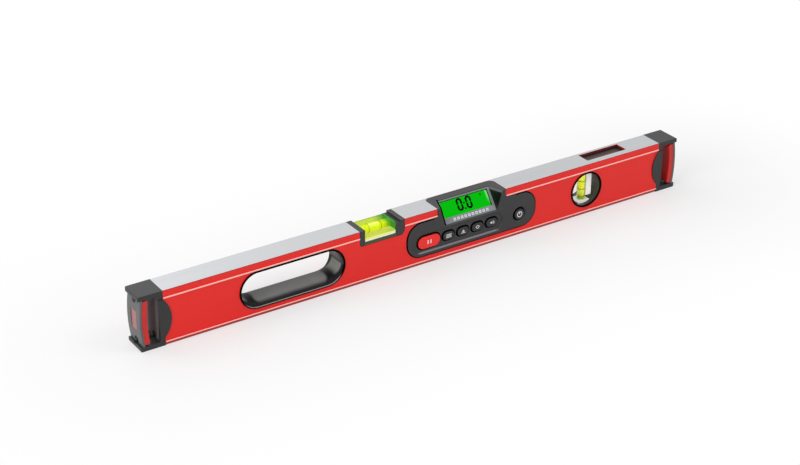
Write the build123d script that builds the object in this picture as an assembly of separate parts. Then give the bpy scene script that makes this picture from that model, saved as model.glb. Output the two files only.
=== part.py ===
from build123d import *
import math
import os

# Digital spirit level. X runs along the length, -Y is the front face, Z is up.
# The origin is the middle of the lower measuring face. All sizes are in millimetres.

# Overall size
LENGTH = 610.0
HEIGHT = 55.0
WIDTH = 25.0
CAP_LENGTH = 24.0

# Box profile section
WEB_WALL = 1.8
FLANGE_WALL = 3.0
BEAD_RADIUS = 0.95
BEAD_RAISE = 0.85
UPPER_BEAD_DROP = 7.4
LOWER_BEAD_RISE = 3.6
FOOT_LEAN = 0.9
FOOT_HEIGHT = 2.6
EDGE_BREAK = 0.3
PORT_INSET = 7.0
PORT_RADIUS = 3.0
PORT_BORE = 1.5
PORT_STEM = 2.4

# Fits shared by all pieces
FIT = 0.15
BUTTON_FIT = 0.3
THREAD_FIT = 0.05
LIQUID_FIT = 0.05
BUBBLE_FIT = 0.3

# End caps
CAP_BASE = 5.0
CAP_PLATE = 4.5
CAP_CORNER = 1.2
CAP_TAB_REACH = 7.0
CAP_TAB_HALF = 18.6
CAP_TAB_RAISE = 1.0
SPIGOT_LENGTH = 14.0
SPIGOT_HALF_HEIGHT = 16.0
SPIGOT_WALL = 2.5
BAR_SETBACK = 0.5
BAR_BOW = 1.9
SKIN_THICKNESS = 2.0
CORE_THICKNESS = 5.4
CORE_SETBACK = 0.4
CORE_END_GAP = 1.2
CORE_ROUND = 2.0
END_PANEL_WIDTH = 11.0
END_PANEL_HEIGHT = 20.0
END_PANEL_DEPTH = 0.8
CAP_SCREW_RADIUS = 1.45
CAP_SCREW_LENGTH = 20.0
CAP_SCREW_HOLE = 1.7
CAP_HEAD_RADIUS = 2.5
CAP_HEAD_HEIGHT = 2.0
DRIVER_RADIUS = 3.6
CROSS_WIDTH = 0.7
CROSS_DEPTH = 1.0

# Hand grip
GRIP_X = -150.6
GRIP_LENGTH = 111.0
GRIP_HEIGHT = 38.2
GRIP_LIP = 0.6
GRIP_LIP_RAISE = 0.8
GRIP_WALL = 0.9
PAD_LENGTH = 104.0
PAD_EDGE = 2.2
PAD_CROWN = 5.0
PAD_SIDE_GAP = 0.2

# Level vial in its notch through the upper edge
NOTCH_LEFT = -79.0
NOTCH_RIGHT = -29.0
NOTCH_DEPTH = 16.0
NOTCH_LEFT_CORNER = 2.5
NOTCH_RIGHT_CORNER = 5.0
CRADLE_FLOOR = 3.4
CRADLE_LEFT = 6.0
CRADLE_RIGHT = 9.8
CRADLE_STEP_LENGTH = 5.0
CRADLE_STEP_DROP = 2.2
CRADLE_SINK = 0.2
VIAL_SIDE_GAP = 0.8
REFLECTOR_THICKNESS = 1.2
VIAL_SINK = 0.7
VIAL_EDGE = 3.4
LEVEL_BORE = 3.9
LEVEL_END_WALL = 3.0
BARREL_RISE = 0.2
PLUG_LENGTH = 4.0
BORE_DROP = 5.2
BUBBLE_RADIUS = 2.0
BUBBLE_LENGTH = 12.0
BUBBLE_GAP = 0.4
LEVEL_BUBBLE_TRAVEL = 5.0
RING_WIDTH = 0.6
RING_DEPTH = 0.45
RING_MARGIN = 0.4

# Round plumb window and its upright vial
PLUMB_END_DISTANCE = 116.7
PLUMB_RADIUS = 18.7
PLUMB_LIP = 0.4
PLUMB_LIP_RAISE = 0.7
PLUMB_WALL = 1.15
PLUMB_VIAL_SHIFT = 2.6
PLUMB_VIAL_Y = -1.5
PLUMB_VIAL_RADIUS = 4.8
PLUMB_VIAL_EDGE = 1.2
PLUMB_BORE = 3.4
PLUMB_END_WALL = 2.5
PLUMB_FOOT = 2.4
PLUMB_CAP = 2.2
PLUMB_HOLDER_HALF = 8.5
PLUMB_HOLDER_FRONT = 6.3
POST_GAP = 0.4
POST_WIDTH = 8.0
POST_THICKNESS = 1.5
FIN_SHIFT = 1.2
FIN_WIDTH = 6.1
FIN_THICKNESS = 1.3
FIN_DROP = 9.3
PLUMB_BUBBLE_RADIUS = 1.7
PLUMB_BUBBLE_LENGTH = 7.0
PLUMB_BUBBLE_TRAVEL = 11.0

# Sight slot in the upper edge, closed by a smoked lens, with a slanted mirror under it
SLOT_END_DISTANCE = 61.5
SLOT_LENGTH = 49.5
SLOT_WIDTH = 14.9
SLOT_WALL_GAP = 1.3
SLOT_DEPTH = 4.6
LENS_MARGIN = 2.5
LENS_SIDE_MARGIN = 1.2
LENS_THICKNESS = 2.0
LENS_GAP = 0.5
MIRROR_THICKNESS = 1.2
BRACKET_WALL = 1.8
MIRROR_GAP = 1.0

# Electronic module: faceplate, neck and display slope
MODULE_LEFT = -27.0
MODULE_RIGHT = 124.6
MODULE_MARGIN = 8.7
MODULE_CORNER = 16.5
MODULE_RAISE = 0.7
PLATE_WALL = 2.2
CASE_WALL = 1.8
PLATE_EDGE = 0.5
NECK_LEFT = 8.2
NECK_RIGHT = 87.8
NECK_BACK_GAP = 1.1
NECK_BACK_CORNER = 6.0
NECK_CORNER = 2.6
NECK_DEPTH = 12.8
NECK_SINK = 0.2
MODULE_FIT = 0.25
CASE_SPLIT = 9.5
REAR_CASE_INSET = 1.2
REAR_CASE_BACK_GAP = 0.3
REAR_CASE_WALL = 1.6
SLOPE_LOW = 20.3
SLOPE_RUN = 15.5
SLOPE_LEFT = 18.4
SLOPE_RIGHT = 77.6
SLOPE_FLARE = 26.0
BEZEL_BORDER_LEFT = 1.0
BEZEL_BORDER_RIGHT = 2.0
BEZEL_BORDER_LOW = 5.7
BEZEL_BORDER_HIGH = 1.2
BEZEL_LOW = 0.6
BEZEL_HIGH = 24.4
BEZEL_THICKNESS = 1.6
PANEL_OVERLAP = 2.0
PANEL_LOW = 1.3
PANEL_HIGH = 23.7
PANEL_THICKNESS = 2.0
BACKLIGHT_THICKNESS = 2.4
BACKLIGHT_INSET = 2.0
KEY_FIELD_LEFT = -20.0
KEY_FIELD_RIGHT = 85.0
KEY_FIELD_LOW = 3.7
KEY_FIELD_HEIGHT = 20.6
KEY_FIELD_DEPTH = 1.2
KEY_FIELD_CORNER = 9.6

# Buttons
BUTTON_RISE = 14.3
HOLD_X = -1.2
HOLD_LENGTH = 25.0
HOLD_HEIGHT = 12.6
KEY_FIRST_X = 21.2
KEY_PITCH = 16.9
KEY_LENGTH = 12.8
KEY_HEIGHT = 8.4
POWER_X = 105.1
POWER_RADIUS = 5.6
POWER_DISH = 8.4
POWER_DISH_DEPTH = 0.8
BUTTON_PROUD = 1.0
BUTTON_FLANGE = 0.8
BUTTON_FLANGE_THICKNESS = 0.9
BUTTON_FLANGE_GAP = 0.1
BUTTON_STEM = 2.2
BUTTON_STEM_LENGTH = 0.4
BUTTON_TRAVEL = 0.8
BUTTON_CROWN = 0.5

# Circuit board and what it carries
BOARD_THICKNESS = 1.2
BOARD_LEFT = -15.0
BOARD_RIGHT = 111.0
BOARD_LOW = 2.8
BOARD_HEIGHT = 18.0
STANDOFF_RADIUS = 1.6
STANDOFF_LOW = 1.9
STANDOFF_XS = (-12.5, 46.6, 108.0)
DOME_RADIUS = 2.2
DOME_HEIGHT = 1.1
DOME_GAP = 0.2
SENSOR_X = 101.0
SENSOR_SIZE = 6.0
SENSOR_HEIGHT = 1.6
BUZZER_X = 99.0
BUZZER_RADIUS = 4.8
BUZZER_HEIGHT = 3.6
BUZZER_LOW = 5.6
SENSOR_LOW = 14.4

# Battery compartment
CELL_RADIUS = 5.25
CELL_LENGTH = 44.5
CELL_COUNT = 2
CELL_CENTRE_X = 36.0
CELL_RISE = 9.3
CELL_FIT = 0.3
CONTACT_PLATE = 0.5
CONTACT_STUD = 2.5
CONTACT_RADIUS = 2.6
BAY_WALL = 1.4
DOOR_OVERLAP = 2.6
DOOR_GAP = 0.1
DOOR_SINK = 0.1
DOOR_FIT = 0.3
DOOR_CORNER = 2.0
DOOR_RIB = 1.2
DOOR_RIB_DEPTH = 1.6
DOOR_RIB_LENGTH = 20.0
DOOR_NOTCH_LENGTH = 16.0
DOOR_NOTCH_HEIGHT = 5.0
DOOR_NOTCH_DEPTH = 0.7
CASE_SCREW_RADIUS = 1.25
CASE_SCREW_HEAD = 2.4
CASE_SCREW_HEAD_HEIGHT = 1.6
CASE_BOSS = 2.9
CASE_BOSS_INSET_X = 8.4
CASE_BOSS_INSET_Z = 8.4
CASE_SCREW_BITE = 5.0

# Places worked out from the sizes above
FRONT = -WIDTH / 2
REAR = WIDTH / 2
MID = HEIGHT / 2
PROFILE_END = LENGTH / 2 - CAP_LENGTH
CAP_SCREW_SEAT = PROFILE_END + CAP_BASE - CAP_HEAD_HEIGHT
CAVITY = WIDTH / 2 - WEB_WALL
CAVITY_TOP = HEIGHT - FLANGE_WALL
PORT_HEIGHTS = (PORT_INSET, HEIGHT - PORT_INSET)
FACE = FRONT - MODULE_RAISE
PLATE_BACK = FACE + PLATE_WALL
SPLIT = FRONT + CASE_SPLIT
MODULE_LOW = MODULE_MARGIN
MODULE_HIGH = HEIGHT - MODULE_MARGIN
MODULE_TOP = HEIGHT - NECK_SINK
PLATE_CORNER = min(MODULE_CORNER, (MODULE_HIGH - MODULE_LOW) / 2 - EDGE_BREAK)
NECK_BACK = REAR - NECK_BACK_GAP
NECK_BOTTOM = HEIGHT - NECK_DEPTH
CASE_BACK = CAVITY - REAR_CASE_BACK_GAP
SLOPE_RISE = HEIGHT - SLOPE_LOW
SLOPE_LENGTH = math.hypot(SLOPE_RUN, SLOPE_LOW)
SLOPE_NORMAL = (0, -SLOPE_LOW / SLOPE_LENGTH, SLOPE_RUN / SLOPE_LENGTH)
SLOPE = Plane(origin=(0, FRONT, SLOPE_RISE), x_dir=(1, 0, 0), z_dir=SLOPE_NORMAL)
BUTTON_Z = MODULE_LOW + BUTTON_RISE
KEY_FLOOR = FACE + KEY_FIELD_DEPTH
FLANGE_FRONT = PLATE_BACK + BUTTON_FLANGE_GAP
STEM_END = FLANGE_FRONT + BUTTON_FLANGE_THICKNESS + BUTTON_STEM_LENGTH
DOME_FRONT = STEM_END + BUTTON_TRAVEL + DOME_GAP
BOARD_FRONT = DOME_FRONT + DOME_HEIGHT
BOARD_BACK = BOARD_FRONT + BOARD_THICKNESS
BOARD_Z = MODULE_LOW + BOARD_LOW
BAY_BACK = CASE_BACK - REAR_CASE_WALL
CELL_Y = BAY_BACK - CELL_FIT - CELL_RADIUS
CELL_Z = MODULE_LOW + CELL_RISE
BAY_HALF = CELL_RADIUS + CELL_FIT
BAY_LENGTH = CELL_COUNT * CELL_LENGTH + 2 * (CONTACT_PLATE + CONTACT_STUD)
BAY_FRONT = CELL_Y - BAY_HALF
VIAL_LEFT = NOTCH_LEFT + CRADLE_LEFT + FIT
VIAL_RIGHT = NOTCH_RIGHT - CRADLE_RIGHT - FIT
NOTCH_FLOOR = HEIGHT - NOTCH_DEPTH
REFLECTOR_LOW = NOTCH_FLOOR + FIT + CRADLE_FLOOR
VIAL_LOW = REFLECTOR_LOW + REFLECTOR_THICKNESS
VIAL_TOP = HEIGHT - VIAL_SINK
VIAL_HALF_DEPTH = WIDTH / 2 - VIAL_SIDE_GAP
BORE_LEFT = VIAL_LEFT + LEVEL_END_WALL
BORE_RIGHT = VIAL_RIGHT - PLUG_LENGTH
BORE_X = (BORE_LEFT + BORE_RIGHT) / 2
BORE_Z = VIAL_TOP - BORE_DROP
PLUMB_X = LENGTH / 2 - PLUMB_END_DISTANCE
SLOT_RIGHT = LENGTH / 2 - SLOT_END_DISTANCE
SLOT_LEFT = SLOT_RIGHT - SLOT_LENGTH
SLOT_BACK = CAVITY - SLOT_WALL_GAP
SLOT_FRONT = SLOT_BACK - SLOT_WIDTH
PLUMB_INNER = PLUMB_RADIUS - FIT - PLUMB_WALL
PLUMB_HOLDER_RADIUS = PLUMB_INNER - FIT
PLUMB_VIAL_X = PLUMB_X + PLUMB_VIAL_SHIFT
PLUMB_VIAL_LOW = MID - PLUMB_HOLDER_RADIUS + PLUMB_FOOT
PLUMB_VIAL_HIGH = MID + PLUMB_HOLDER_RADIUS - PLUMB_CAP
PLUMB_BORE_LOW = PLUMB_VIAL_LOW + PLUG_LENGTH
PLUMB_BORE_HIGH = PLUMB_VIAL_HIGH - PLUMB_END_WALL
PLUMB_BORE_MID = (PLUMB_BORE_LOW + PLUMB_BORE_HIGH) / 2


def block(x0, x1, y0, y1, z0, z1):
    """Box between two opposite corners."""
    size = Box(x1 - x0, y1 - y0, z1 - z0)
    return Pos((x0 + x1) / 2, (y0 + y1) / 2, (z0 + z1) / 2) * size


def slab(outline, y_front, y_back):
    """Outline drawn in X and Z, carried along Y."""
    plane = Plane(origin=(0, y_back, 0), x_dir=(1, 0, 0), z_dir=(0, -1, 0))
    return extrude(plane * outline, amount=y_back - y_front)


def bar(section, x0, x1):
    """Section drawn in Y and Z, carried along X."""
    plane = Plane(origin=(x0, 0, 0), x_dir=(0, 1, 0), z_dir=(1, 0, 0))
    return extrude(plane * section, amount=x1 - x0)


def rod_x(x0, x1, y, z, radius):
    """Round rod along X."""
    return bar(Pos(y, z) * Circle(radius), x0, x1)


def rod_y(x, y0, y1, z, radius):
    """Round rod along Y."""
    return slab(Pos(x, z) * Circle(radius), y0, y1)


def slope_block(u0, u1, v0, v1, w0, w1):
    """Box on the display slope: u along X, v up the slope, w out of it."""
    return SLOPE * block(u0, u1, v0, v1, w0, w1)


def pill(length, height):
    """Straight bar outline with half-round ends."""
    return SlotOverall(length, height)


def mirrored(shape):
    """The same piece at the other end of the level."""
    return mirror(shape, about=Plane.YZ)


def solid(shape):
    """One clean solid or group of solids for export."""
    return Compound(children=list(shape.solids())) if len(shape.solids()) > 1 else shape.solids()[0]


# Profile

def profile_section():
    """Outer shape with two beads a side, one hollow and two round screw ports."""
    half = WIDTH / 2
    right = [
        (half - FOOT_LEAN, 0),
        (half, FOOT_HEIGHT),
        (half, HEIGHT - EDGE_BREAK),
        (half - EDGE_BREAK, HEIGHT),
    ]
    left = [(-y, z) for y, z in reversed(right)]
    section = make_face(Polyline(*right, *left, close=True))
    bead_y = half + BEAD_RAISE - BEAD_RADIUS
    for bead_z in (LOWER_BEAD_RISE, HEIGHT - UPPER_BEAD_DROP):
        for side in (-1, 1):
            section += Pos(side * bead_y, bead_z) * Circle(BEAD_RADIUS)
    section -= Pos(0, MID) * Rectangle(2 * CAVITY, HEIGHT - 2 * FLANGE_WALL)
    for port_z, flange_z in zip(PORT_HEIGHTS, (FLANGE_WALL / 2, HEIGHT - FLANGE_WALL / 2)):
        section += Pos(0, (port_z + flange_z) / 2) * Rectangle(PORT_STEM, abs(port_z - flange_z))
        section += Pos(0, port_z) * Circle(PORT_RADIUS)
        section -= Pos(0, port_z) * Circle(PORT_BORE)
    return section


def grip_outline(grow):
    """Outline of the grip's lip, grown or shrunk all round."""
    return Pos(GRIP_X, MID) * pill(GRIP_LENGTH + 2 * grow, GRIP_HEIGHT + 2 * grow)


def notch_outline(shrink, top):
    """Notch for the level vial: square at the top, rounded at its lower corners."""
    left, right = NOTCH_LEFT + shrink, NOTCH_RIGHT - shrink
    low = NOTCH_FLOOR + shrink
    shape = Pos((left + right) / 2, (low + top) / 2) * Rectangle(right - left, top - low)
    lower = shape.vertices().sort_by(Axis.Y)[:2].sort_by(Axis.X)
    shape = fillet(lower[1], NOTCH_RIGHT_CORNER - shrink)
    corner = shape.vertices().group_by(Axis.Y)[0].sort_by(Axis.X)[0]
    return fillet(corner, NOTCH_LEFT_CORNER - shrink)


def module_plate(grow):
    """Faceplate outline without the neck."""
    width = MODULE_RIGHT - MODULE_LEFT + 2 * grow
    height = MODULE_HIGH - MODULE_LOW + 2 * grow
    plate = RectangleRounded(width, height, PLATE_CORNER + grow)
    return Pos((MODULE_LEFT + MODULE_RIGHT) / 2, MID) * plate


def module_outline(grow, top):
    """Faceplate with the neck that rises through the upper edge."""
    neck_low = MODULE_HIGH - PLATE_CORNER
    neck = Pos((NECK_LEFT + NECK_RIGHT) / 2, (neck_low + top) / 2) * Rectangle(
        NECK_RIGHT - NECK_LEFT + 2 * grow, top - neck_low)
    outline = module_plate(grow) + neck
    level = MODULE_HIGH + grow
    inner = [v for v in outline.vertices() if abs(v.Y - level) < 0.01
             and min(abs(v.X - NECK_LEFT + grow), abs(v.X - NECK_RIGHT - grow)) < 0.01]
    return fillet(inner, NECK_CORNER - grow)


def neck_block(grow, top):
    """Rear part of the neck, with rounded back corners."""
    outline = Pos((NECK_LEFT + NECK_RIGHT) / 2, (SPLIT + NECK_BACK + grow) / 2) * Rectangle(
        NECK_RIGHT - NECK_LEFT + 2 * grow, NECK_BACK + grow - SPLIT)
    outline = fillet(outline.vertices().sort_by(Axis.Y)[-2:], NECK_BACK_CORNER + grow)
    low = NECK_BOTTOM - grow
    return Pos(0, 0, low) * extrude(outline, amount=top - low)


def door_outline(grow):
    """Outline of the battery door."""
    width = BAY_LENGTH + 2 * (DOOR_OVERLAP + grow)
    height = 2 * (BAY_HALF + DOOR_OVERLAP + grow)
    return Pos(CELL_CENTRE_X, CELL_Z) * RectangleRounded(width, height, DOOR_CORNER + grow)


def box_profile():
    """Aluminium box extrusion with every opening milled into it."""
    past = WIDTH
    body = bar(profile_section(), -PROFILE_END, PROFILE_END)
    body -= slab(grip_outline(-GRIP_LIP), -past, past)
    body -= slab(notch_outline(0, HEIGHT + past), -past, past)
    body -= slab(module_outline(MODULE_FIT, HEIGHT + past), -past, SPLIT)
    body -= neck_block(MODULE_FIT, HEIGHT + past)
    body -= slab(door_outline(DOOR_FIT), 0, past)
    body -= rod_y(PLUMB_X, -past, past, MID, PLUMB_RADIUS)
    body -= block(SLOT_LEFT, SLOT_RIGHT, SLOT_FRONT, SLOT_BACK, MID, HEIGHT + past)
    grip_end = GRIP_LENGTH / 2 + PORT_RADIUS
    cleared = (
        (GRIP_X - grip_end, GRIP_X + grip_end),
        (NOTCH_LEFT - PORT_RADIUS, MODULE_RIGHT + PORT_RADIUS),
        (PLUMB_X - PLUMB_RADIUS - PORT_RADIUS, SLOT_RIGHT + PORT_RADIUS),
    )
    for x0, x1 in cleared:
        body -= block(x0, x1, -PORT_RADIUS, PORT_RADIUS, FLANGE_WALL, CAVITY_TOP)
    return body


# End caps, drawn at the right end and mirrored to the left

def bar_face(inset):
    """Bowed line of the bumper bar's outside, moved inwards by inset, as three points."""
    tip = LENGTH / 2 - BAR_SETBACK - inset
    return (tip - BAR_BOW, CAP_PLATE), (tip, MID), (tip - BAR_BOW, HEIGHT - CAP_PLATE)


def bowed_bar(outer_inset, thickness, half_depth):
    """Bar between the cap's plates, bowed outwards along its height."""
    outer, inner = bar_face(outer_inset), bar_face(outer_inset + thickness)
    edges = [
        ThreePointArc(*outer),
        Line(outer[2], inner[2]),
        ThreePointArc(*inner),
        Line(inner[0], outer[0]),
    ]
    return slab(make_face(edges), -half_depth, half_depth)


def driver_channels():
    """Ways for a driver to reach the two cap screws from the end."""
    return [rod_x(CAP_SCREW_SEAT, LENGTH, 0, z, DRIVER_RADIUS) for z in PORT_HEIGHTS]


def cap_body():
    """Moulded cap, flush with both measuring faces: base, spigot, two plates and a tab on each web."""
    base_end = PROFILE_END + CAP_BASE
    end = LENGTH / 2
    half = WIDTH / 2
    outer = block(base_end, end, -half, half, 0, HEIGHT)
    outer = fillet(outer.edges().filter_by(Axis.Y).group_by(Axis.X)[-1], CAP_CORNER)
    outer -= block(base_end, LENGTH, -WIDTH, WIDTH, CAP_PLATE, HEIGHT - CAP_PLATE)
    cap = outer + block(PROFILE_END, base_end, -half, half, 0, HEIGHT)
    tab_radius = (CAP_TAB_REACH ** 2 + CAP_TAB_HALF ** 2) / (2 * CAP_TAB_REACH)
    disc = Pos(PROFILE_END - CAP_TAB_REACH + tab_radius, MID) * Circle(tab_radius)
    keep = Pos(PROFILE_END + CAP_BASE / 2 - CAP_TAB_REACH / 2, MID) * Rectangle(
        CAP_BASE + CAP_TAB_REACH, 2 * CAP_TAB_HALF)
    tab = disc & keep
    cap += slab(tab, -half - CAP_TAB_RAISE, -half)
    cap += slab(tab, half, half + CAP_TAB_RAISE)
    spigot_half = CAVITY - FIT
    spigot = block(PROFILE_END - SPIGOT_LENGTH, PROFILE_END, -spigot_half, spigot_half,
                   MID - SPIGOT_HALF_HEIGHT, MID + SPIGOT_HALF_HEIGHT)
    core = SPIGOT_HALF_HEIGHT - SPIGOT_WALL
    spigot -= block(PROFILE_END - SPIGOT_LENGTH, PROFILE_END - SPIGOT_WALL, SPIGOT_WALL - spigot_half,
                    spigot_half - SPIGOT_WALL, MID - core, MID + core)
    cap += spigot
    for channel, z in zip(driver_channels(), PORT_HEIGHTS):
        cap -= channel
        cap -= rod_x(PROFILE_END, CAP_SCREW_SEAT, 0, z, CAP_SCREW_HOLE)
    return cap


def bumper_core():
    """Red inner layer of the bumper bar, a little shorter than it and with rounded ends."""
    core = bowed_bar(SKIN_THICKNESS, CORE_THICKNESS, WIDTH / 2 - CORE_SETBACK)
    end_gap = CAP_PLATE + CORE_END_GAP
    core &= block(PROFILE_END, LENGTH, -WIDTH, WIDTH, end_gap, HEIGHT - end_gap)
    core = fillet(core.edges().filter_by(Axis.Y), CORE_ROUND)
    for channel in driver_channels():
        core -= channel
    return core


def bumper_skin():
    """Black outer layer of the bumper bar, with a bare sunken panel on its end."""
    skin = bowed_bar(0, SKIN_THICKNESS, WIDTH / 2)
    tip = LENGTH / 2 - BAR_SETBACK
    skin -= block(tip - END_PANEL_DEPTH, LENGTH, -END_PANEL_WIDTH / 2, END_PANEL_WIDTH / 2,
                  MID - END_PANEL_HEIGHT / 2, MID + END_PANEL_HEIGHT / 2)
    for channel in driver_channels():
        skin -= channel
    return skin


def cap_screws():
    """Two pan-head screws at each end, with a cross recess in the head."""
    seat, top = CAP_SCREW_SEAT, CAP_SCREW_SEAT + CAP_HEAD_HEIGHT
    screws = []
    for z in PORT_HEIGHTS:
        screw = rod_x(seat - CAP_SCREW_LENGTH, seat, 0, z, CAP_SCREW_RADIUS)
        screw += rod_x(seat, top, 0, z, CAP_HEAD_RADIUS)
        for y, rise in ((CAP_SCREW_RADIUS, CROSS_WIDTH / 2), (CROSS_WIDTH / 2, CAP_SCREW_RADIUS)):
            screw -= block(top - CROSS_DEPTH, top, -y, y, z - rise, z + rise)
        screws += [screw, mirrored(screw)]
    return Compound(children=[s.solids()[0] for s in screws])


# Hand grip

def grip_shell():
    """Front half of the liner through the hand hole, with a thin lip on the web."""
    outer = -GRIP_LIP - FIT
    shell = slab(grip_outline(outer), FRONT - GRIP_LIP_RAISE, 0)
    shell += slab(grip_outline(0), FRONT - GRIP_LIP_RAISE, FRONT)
    shell -= slab(grip_outline(outer - GRIP_WALL), FRONT - WIDTH, 0)
    return shell


def grip_pad():
    """Crowned soft pad lying along the bottom of the liner."""
    low = MID - GRIP_HEIGHT / 2 + GRIP_LIP + FIT + GRIP_WALL
    half = WIDTH / 2 - PAD_SIDE_GAP
    edges = [
        Line((-half, low), (half, low)),
        Line((half, low), (half, low + PAD_EDGE)),
        ThreePointArc((half, low + PAD_EDGE), (0, low + PAD_EDGE + PAD_CROWN), (-half, low + PAD_EDGE)),
        Line((-half, low + PAD_EDGE), (-half, low)),
    ]
    pad = bar(make_face(edges), GRIP_X - PAD_LENGTH / 2, GRIP_X + PAD_LENGTH / 2)
    inside = slab(grip_outline(-GRIP_LIP - FIT - GRIP_WALL), -WIDTH, WIDTH)
    return pad & inside


# Vials

def barrel(length, end_radius, rise):
    """Vial bore along X about the origin: widest in its middle."""
    half = length / 2
    edges = [
        ThreePointArc((-half, end_radius), (0, end_radius + rise), (half, end_radius)),
        Line((half, end_radius), (half, 0)),
        Line((half, 0), (-half, 0)),
        Line((-half, 0), (-half, end_radius)),
    ]
    return revolve(make_face(edges), axis=Axis.X)


def capsule(length, radius):
    """Round-ended rod along X about the origin."""
    reach = length / 2 - radius
    body = rod_x(-reach, reach, 0, 0, radius)
    for x in (-reach, reach):
        body += Pos(x, 0, 0) * Sphere(radius)
    return body


def ring_discs(gap, radius):
    """Two thin discs about the X axis, either side of the bubble."""
    places = [side * gap / 2 for side in (-1, 1)]
    return [rod_x(x - RING_WIDTH / 2, x + RING_WIDTH / 2, 0, 0, radius) for x in places]


def vial_rings(gap, inner):
    """Two marking rings about the X axis."""
    return [disc - rod_x(-gap, gap, 0, 0, inner) for disc in ring_discs(gap, inner + RING_DEPTH)]


def level_place(shape):
    """Puts a piece drawn about the origin on the level vial's bore."""
    return Pos(BORE_X, 0, BORE_Z) * shape


LEVEL_BORE_LENGTH = BORE_RIGHT - BORE_LEFT
LEVEL_RING_RADIUS = LEVEL_BORE + BARREL_RISE + LIQUID_FIT
LEVEL_RING_GAP = BUBBLE_LENGTH + 2 * RING_MARGIN + RING_WIDTH
LEVEL_BUBBLE_LIFT = LEVEL_BORE + BARREL_RISE - BUBBLE_GAP - BUBBLE_RADIUS


def vial_cradle():
    """Black moulded seat that fills the notch: floor, left block and stepped right block."""
    top = HEIGHT - CRADLE_SINK
    half = WIDTH / 2 - CRADLE_SINK
    cradle = slab(notch_outline(FIT, top), -half, half)
    cradle -= block(VIAL_LEFT - FIT, VIAL_RIGHT + FIT, -WIDTH, WIDTH, REFLECTOR_LOW, HEIGHT)
    step_end = VIAL_RIGHT + FIT + CRADLE_STEP_LENGTH
    cradle -= block(VIAL_RIGHT, step_end, -WIDTH, WIDTH, top - CRADLE_STEP_DROP, HEIGHT)
    return cradle


def level_reflector():
    """White plate under the level vial."""
    return block(VIAL_LEFT, VIAL_RIGHT, -VIAL_HALF_DEPTH, VIAL_HALF_DEPTH, REFLECTOR_LOW, VIAL_LOW)


def level_vial_body():
    """Clear block with rounded upper edges and a barrel bore from its right end."""
    body = block(VIAL_LEFT, VIAL_RIGHT, -VIAL_HALF_DEPTH, VIAL_HALF_DEPTH, VIAL_LOW, VIAL_TOP)
    body = fillet(body.edges().filter_by(Axis.X).group_by(Axis.Z)[-1], VIAL_EDGE)
    body -= level_place(barrel(LEVEL_BORE_LENGTH, LEVEL_BORE, BARREL_RISE))
    body -= rod_x(BORE_RIGHT, VIAL_RIGHT, 0, BORE_Z, LEVEL_BORE)
    for ring in ring_discs(LEVEL_RING_GAP, LEVEL_RING_RADIUS + RING_DEPTH):
        body -= level_place(ring)
    return body


def level_vial_liquid():
    """Liquid of the level vial, open along the bubble's whole path."""
    liquid = barrel(LEVEL_BORE_LENGTH, LEVEL_BORE - LIQUID_FIT, BARREL_RISE)
    radius = BUBBLE_RADIUS + BUBBLE_FIT
    reach = BUBBLE_LENGTH / 2 + LEVEL_BUBBLE_TRAVEL + BUBBLE_FIT
    path = capsule(2 * reach, radius) + block(-reach, reach, -radius, radius, 0, LEVEL_BORE)
    return level_place(liquid - Pos(0, 0, LEVEL_BUBBLE_LIFT) * path)


def level_vial_rings():
    """Two black rings in the level vial's bore wall."""
    rings = vial_rings(LEVEL_RING_GAP, LEVEL_RING_RADIUS)
    return Compound(children=[level_place(ring).solids()[0] for ring in rings])


def level_vial_plug():
    """Plug that seals the level vial's bore."""
    return rod_x(BORE_RIGHT, VIAL_RIGHT, 0, BORE_Z, LEVEL_BORE - LIQUID_FIT)


def level_bubble():
    """Bubble at the top of the level vial's bore."""
    return level_place(Pos(0, 0, LEVEL_BUBBLE_LIFT) * capsule(BUBBLE_LENGTH, BUBBLE_RADIUS))


def plumb_place(shape):
    """Turns a piece drawn along X upright, onto the plumb vial's bore."""
    return Pos(PLUMB_VIAL_X, PLUMB_VIAL_Y, PLUMB_BORE_MID) * Rot(0, -90, 0) * shape


PLUMB_BORE_LENGTH = PLUMB_BORE_HIGH - PLUMB_BORE_LOW
PLUMB_RING_RADIUS = PLUMB_BORE + BARREL_RISE + LIQUID_FIT
PLUMB_RING_GAP = PLUMB_BUBBLE_LENGTH + 2 * RING_MARGIN + RING_WIDTH
PLUMB_BUBBLE_TOP = PLUMB_BORE_LENGTH / 2 - BUBBLE_GAP - PLUMB_BUBBLE_LENGTH / 2


def plumb_bezel():
    """Front ring of the round window: lip on the web and a sleeve to the middle."""
    tube = rod_y(PLUMB_X, FRONT - PLUMB_LIP_RAISE, 0, MID, PLUMB_RADIUS - FIT)
    tube += rod_y(PLUMB_X, FRONT - PLUMB_LIP_RAISE, FRONT, MID, PLUMB_RADIUS + PLUMB_LIP)
    return tube - rod_y(PLUMB_X, -WIDTH, 0, MID, PLUMB_INNER)


def plumb_holder():
    """White frame of the upright vial: foot, top cap, post behind it and a fin that hangs from the cap."""
    x0, x1 = PLUMB_VIAL_X - PLUMB_HOLDER_HALF, PLUMB_VIAL_X + PLUMB_HOLDER_HALF
    y0, post_y = PLUMB_VIAL_Y - PLUMB_HOLDER_FRONT, PLUMB_VIAL_Y + PLUMB_VIAL_RADIUS + POST_GAP
    y1 = post_y + POST_THICKNESS
    fin_x = PLUMB_VIAL_X + FIN_SHIFT
    low, high = MID - PLUMB_INNER, MID + PLUMB_INNER
    frame = block(x0, x1, y0, y1, low, PLUMB_VIAL_LOW)
    frame += block(x0, x1, y0, y1, PLUMB_VIAL_HIGH, high)
    frame += block(PLUMB_VIAL_X, PLUMB_VIAL_X + POST_WIDTH, post_y, y1, low, high)
    frame += block(fin_x, fin_x + FIN_WIDTH, y0, y0 + FIN_THICKNESS, MID - FIN_DROP, high)
    return frame & rod_y(PLUMB_X, -WIDTH, WIDTH, MID, PLUMB_HOLDER_RADIUS)


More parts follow.
